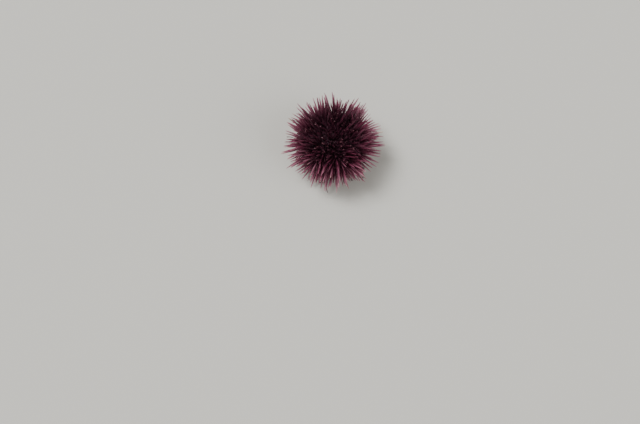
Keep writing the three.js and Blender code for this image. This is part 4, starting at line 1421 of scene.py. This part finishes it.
# Tough wet skin over fine grains of calcite: maroon, blotched, with a pebbled gloss.
membrane_skin, surface = new_material("wrinkled_maroon_membrane")
grain = add_node(membrane_skin, "ShaderNodeTexCoord")
blotches = add_node(
    membrane_skin, "ShaderNodeTexNoise",
    {"Vector": grain.outputs["Object"], "Scale": 1 / (MEMBRANE_BLOTCH * MM), "Detail": 6},
)
pebbling = add_node(
    membrane_skin, "ShaderNodeTexVoronoi",
    {"Vector": grain.outputs["Object"], "Scale": 1 / (MEMBRANE_PEBBLE * MM)},
)
colour = add_node(
    membrane_skin, "ShaderNodeValToRGB", {"Fac": blotches.outputs["Fac"]},
    stops=[(0.35, "#34191F"), (0.65, "#6A4148")],
)
relief = add_node(
    membrane_skin, "ShaderNodeBump",
    {"Height": pebbling.outputs["Distance"], "Strength": 0.4, "Distance": 0.2 * MM},
)
feed(membrane_skin, surface, {
    "Base Color": colour.outputs["Color"], "Roughness": 0.38,
    "Normal": relief.outputs["Normal"], "IOR": 1.4,
})
mouth_membrane = add_rings(
    "mouth_membrane", np.array(membrane_rings)[None], membrane_skin, loop=True
)
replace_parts(mouth_membrane, "peristome")

BUCCAL_PLACE = 4.5
BUCCAL_TURN = math.radians(9)
BUCCAL_SIDES = 16
BUCCAL_PROFILE = [
    (0.75, 0.2), (0.8, 0), (0.75, -0.15), (0.45, -0.22), (0.36, -0.7), (0.33, -1.3), (0.36, -1.9),
    (0.5, -2.2), (0.6, -2.35), (0.58, -2.42), (0.3, -2.36),
]
BUCCAL_OVAL = 0.03
GRAIN_COUNT = 90
GRAIN_SIDES = 8
GRAIN_RADII = (0.12, 0.26)
GRAIN_EDGES = (membrane_inner + 0.5, membrane_outer - 0.4)
GRAIN_PROFILE = [(1, 0.08), (1, -0.03), (0.7, -0.09), (0.1, -0.1)]
buccal_wide = np.array([1 - BUCCAL_OVAL * rise for _, rise in BUCCAL_PROFILE])
buccal_rings = []
for k in range(RAYS):
    z = float(membrane_z(BUCCAL_PLACE, ray_azimuth(k)))
    for side in (-1, 1):
        at = (*polar(BUCCAL_PLACE, ray_azimuth(k) + side * BUCCAL_TURN), z)
        buccal_rings.append(turned(at, BUCCAL_PROFILE, BUCCAL_SIDES, buccal_wide, way=-1))
buccal_along = np.tile(np.linspace(0.3, 1, len(BUCCAL_PROFILE)), (2 * RAYS, 1))
add_rings("buccal_feet", np.array(buccal_rings), foot_finish, buccal_along)
grain_rings = []
for _ in range(GRAIN_COUNT):
    r = chance.uniform(*GRAIN_EDGES)
    a = chance.uniform(0, 2 * math.pi)
    size = chance.uniform(*GRAIN_RADII)
    at = (*polar(r, a), float(membrane_z(r, a)))
    grain_rings.append(turned(at, GRAIN_PROFILE, GRAIN_SIDES, size, size, way=-1))
add_rings("membrane_grains", np.array(grain_rings), pored_plate)


# The lips and teeth
# Folded lips ring five long white teeth of hard calcite, which close like a camera's iris and scrape food.
LIP_PROFILE = [
    (0.03, 9), (1, 9), (1, -0.35), (0.93, -0.62), (0.78, -0.75), (0.64, -0.68), (0.56, -0.35), (0.5, 0.3),
    (0.45, 0.8),
]
LIP_SIDES = 100
LIP_FOLDS = 25
LIP_FOLD_DEPTH = 0.045
lip_turn = 2 * math.pi * np.arange(LIP_SIDES) / LIP_SIDES
lip_rows = []
for share, rise in LIP_PROFILE:
    fold = LIP_FOLD_DEPTH * np.cos(LIP_FOLDS * lip_turn) * (0.1 < share < 0.95)
    lip_rows.append(ring_at(LIP_RADIUS * (share + fold), min(membrane_low + rise, membrane_roof), -lip_turn))
add_rings("mouth_lips", np.array(lip_rows)[None], membrane_skin)

TOOTH_ROWS = 12
TOOTH_SIDES = 16
TOOTH_ROOT = 1.15
TOOTH_TIP = 0.22
TOOTH_CURVE = 1.6
TOOTH_SUNK = 0.6
TOOTH_WIDE = 0.44
TOOTH_THICK = 0.26
TOOTH_EDGE = (0.2, 0.05)
EDGE_FROM = 0.97
KEEL_SHARE = 0.3
FIBRE_SIZE = 0.5556
tooth_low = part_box("mouth")[0].z / MM
tooth_high = membrane_low + TOOTH_SUNK
tooth_turn = 2 * math.pi * np.arange(TOOTH_SIDES) / TOOTH_SIDES
keel = 1 + KEEL_SHARE * np.maximum(0, np.cos(tooth_turn)) ** 4
tooth_across = np.sign(np.sin(tooth_turn)) * np.abs(np.sin(tooth_turn)) ** 0.8
tooth_rings = []
for k in range(RAYS):
    bearing = inter_azimuth(k)
    outward = np.array([*polar(1, bearing), 0])
    sideways = np.array([*polar(1, bearing + math.pi / 2), 0])
    rows = []
    for t in np.linspace(0, 1, TOOTH_ROWS):
        heart = outward * (TOOTH_ROOT + (TOOTH_TIP - TOOTH_ROOT) * t**TOOTH_CURVE)
        heart[2] = tooth_high + (tooth_low - tooth_high) * t
        wide, thick = TOOTH_EDGE
        if t < EDGE_FROM:
            wide = TOOTH_WIDE * (1 - 0.35 * t)
            thick = TOOTH_THICK * (1 - 0.6 * t)
        through = thick * keel * np.cos(tooth_turn)
        rows.append(heart - sideways * wide * tooth_across[:, None] + outward * through[:, None])
    tooth_rings.append(rows)
# Hard bare calcite in fine fibres: ivory with a smooth gloss, yellower at the root.
ivory = grained_finish(
    "ivory_tooth_calcite", [(0.1, "#A9957F"), (0.6, "#E9E1D0")],
    FIBRE_SIZE, detail=4, uneven=0.15, roughness=0.25, relief=0.15,
)
tooth_along = np.tile(np.linspace(0, 1, TOOTH_ROWS), (RAYS, 1))
teeth = add_rings("teeth", np.array(tooth_rings), ivory, tooth_along)
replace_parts(teeth, "mouth")


# The gills
# Ten bushy gills, a pair at each interambulacrum, hang from notches at the edge of the mouth membrane. They
# are thin walled, moist and lobed, so that water flows round them.
GILL_RADIUS = 8.4
GILL_DROP = 3.2
GILL_SPLIT = math.radians(11)
GILL_FINGERS = 11
GILL_ROWS = 14
GILL_SIDES = 10
GOLDEN_TURN = 0.382
FINGER_RADIUS = 0.31
FINGER_DROPS = (0.62, 1.0)
FINGER_TAPER = 0.25
LOBE_DEPTH = 0.22
LOBE_PACE = 17
FINGER_SPLAY = (0.75, 0.35)
FINGER_JITTER = 0.2
BUNCH_RADIUS = 0.9
VEIN_SIZE = 0.8333
gill_top = membrane_low - SEAM
gill_paths = []
gill_radii = []
gill_share = np.linspace(0, 1, GILL_ROWS)
gill_taper = np.sqrt(np.clip(1 - gill_share**6, 0.03, 1)) * (1 - FINGER_TAPER * gill_share)
for k in range(RAYS):
    for side in (-1, 1):
        bearing = inter_azimuth(k) + side * (INTER_HALF - GILL_SPLIT)
        heart = np.array([*polar(GILL_RADIUS, bearing), gill_top])
        for i in range(GILL_FINGERS):
            turn = 2 * math.pi * (i + chance.uniform(-FINGER_JITTER, FINGER_JITTER)) * GOLDEN_TURN
            off = BUNCH_RADIUS * math.sqrt(i / GILL_FINGERS)
            drop = GILL_DROP * chance.uniform(*FINGER_DROPS) * (1 - FINGER_TAPER * off)
            outward = off * (FINGER_SPLAY[0] + FINGER_SPLAY[1] * gill_share[:, None] ** 2)
            path = heart + np.array([*polar(1, turn), 0]) * outward
            path[:, 2] -= drop * gill_share
            gill_paths.append(path)
            lobes = 1 + LOBE_DEPTH * np.sin(gill_share * LOBE_PACE + chance.uniform(*TURN_ROUND))
            gill_radii.append(FINGER_RADIUS * lobes * gill_taper)
gill_count = len(gill_paths)
gill_side = np.tile([1.0, 0, 0], (gill_count, 1))
gill_rings = tube_rings(np.array(gill_paths), np.array(gill_radii), GILL_SIDES, gill_side)
# Thin wet walls with veins: dark at the root and paler, pinker towards the ends.
gill_flesh = grained_finish(
    "thin_moist_gill", [(0.0, "#4A242D"), (1.0, "#A36F74")],
    VEIN_SIZE, detail=5, uneven=0.2, roughness=0.3, ior=1.37, relief=0.3,
)
gills = add_rings("gills", gill_rings, gill_flesh, np.tile(gill_share, (gill_count, 1)))
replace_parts(gills, *[f"gill_{k + 1}{side}" for k in range(RAYS) for side in "ab"])
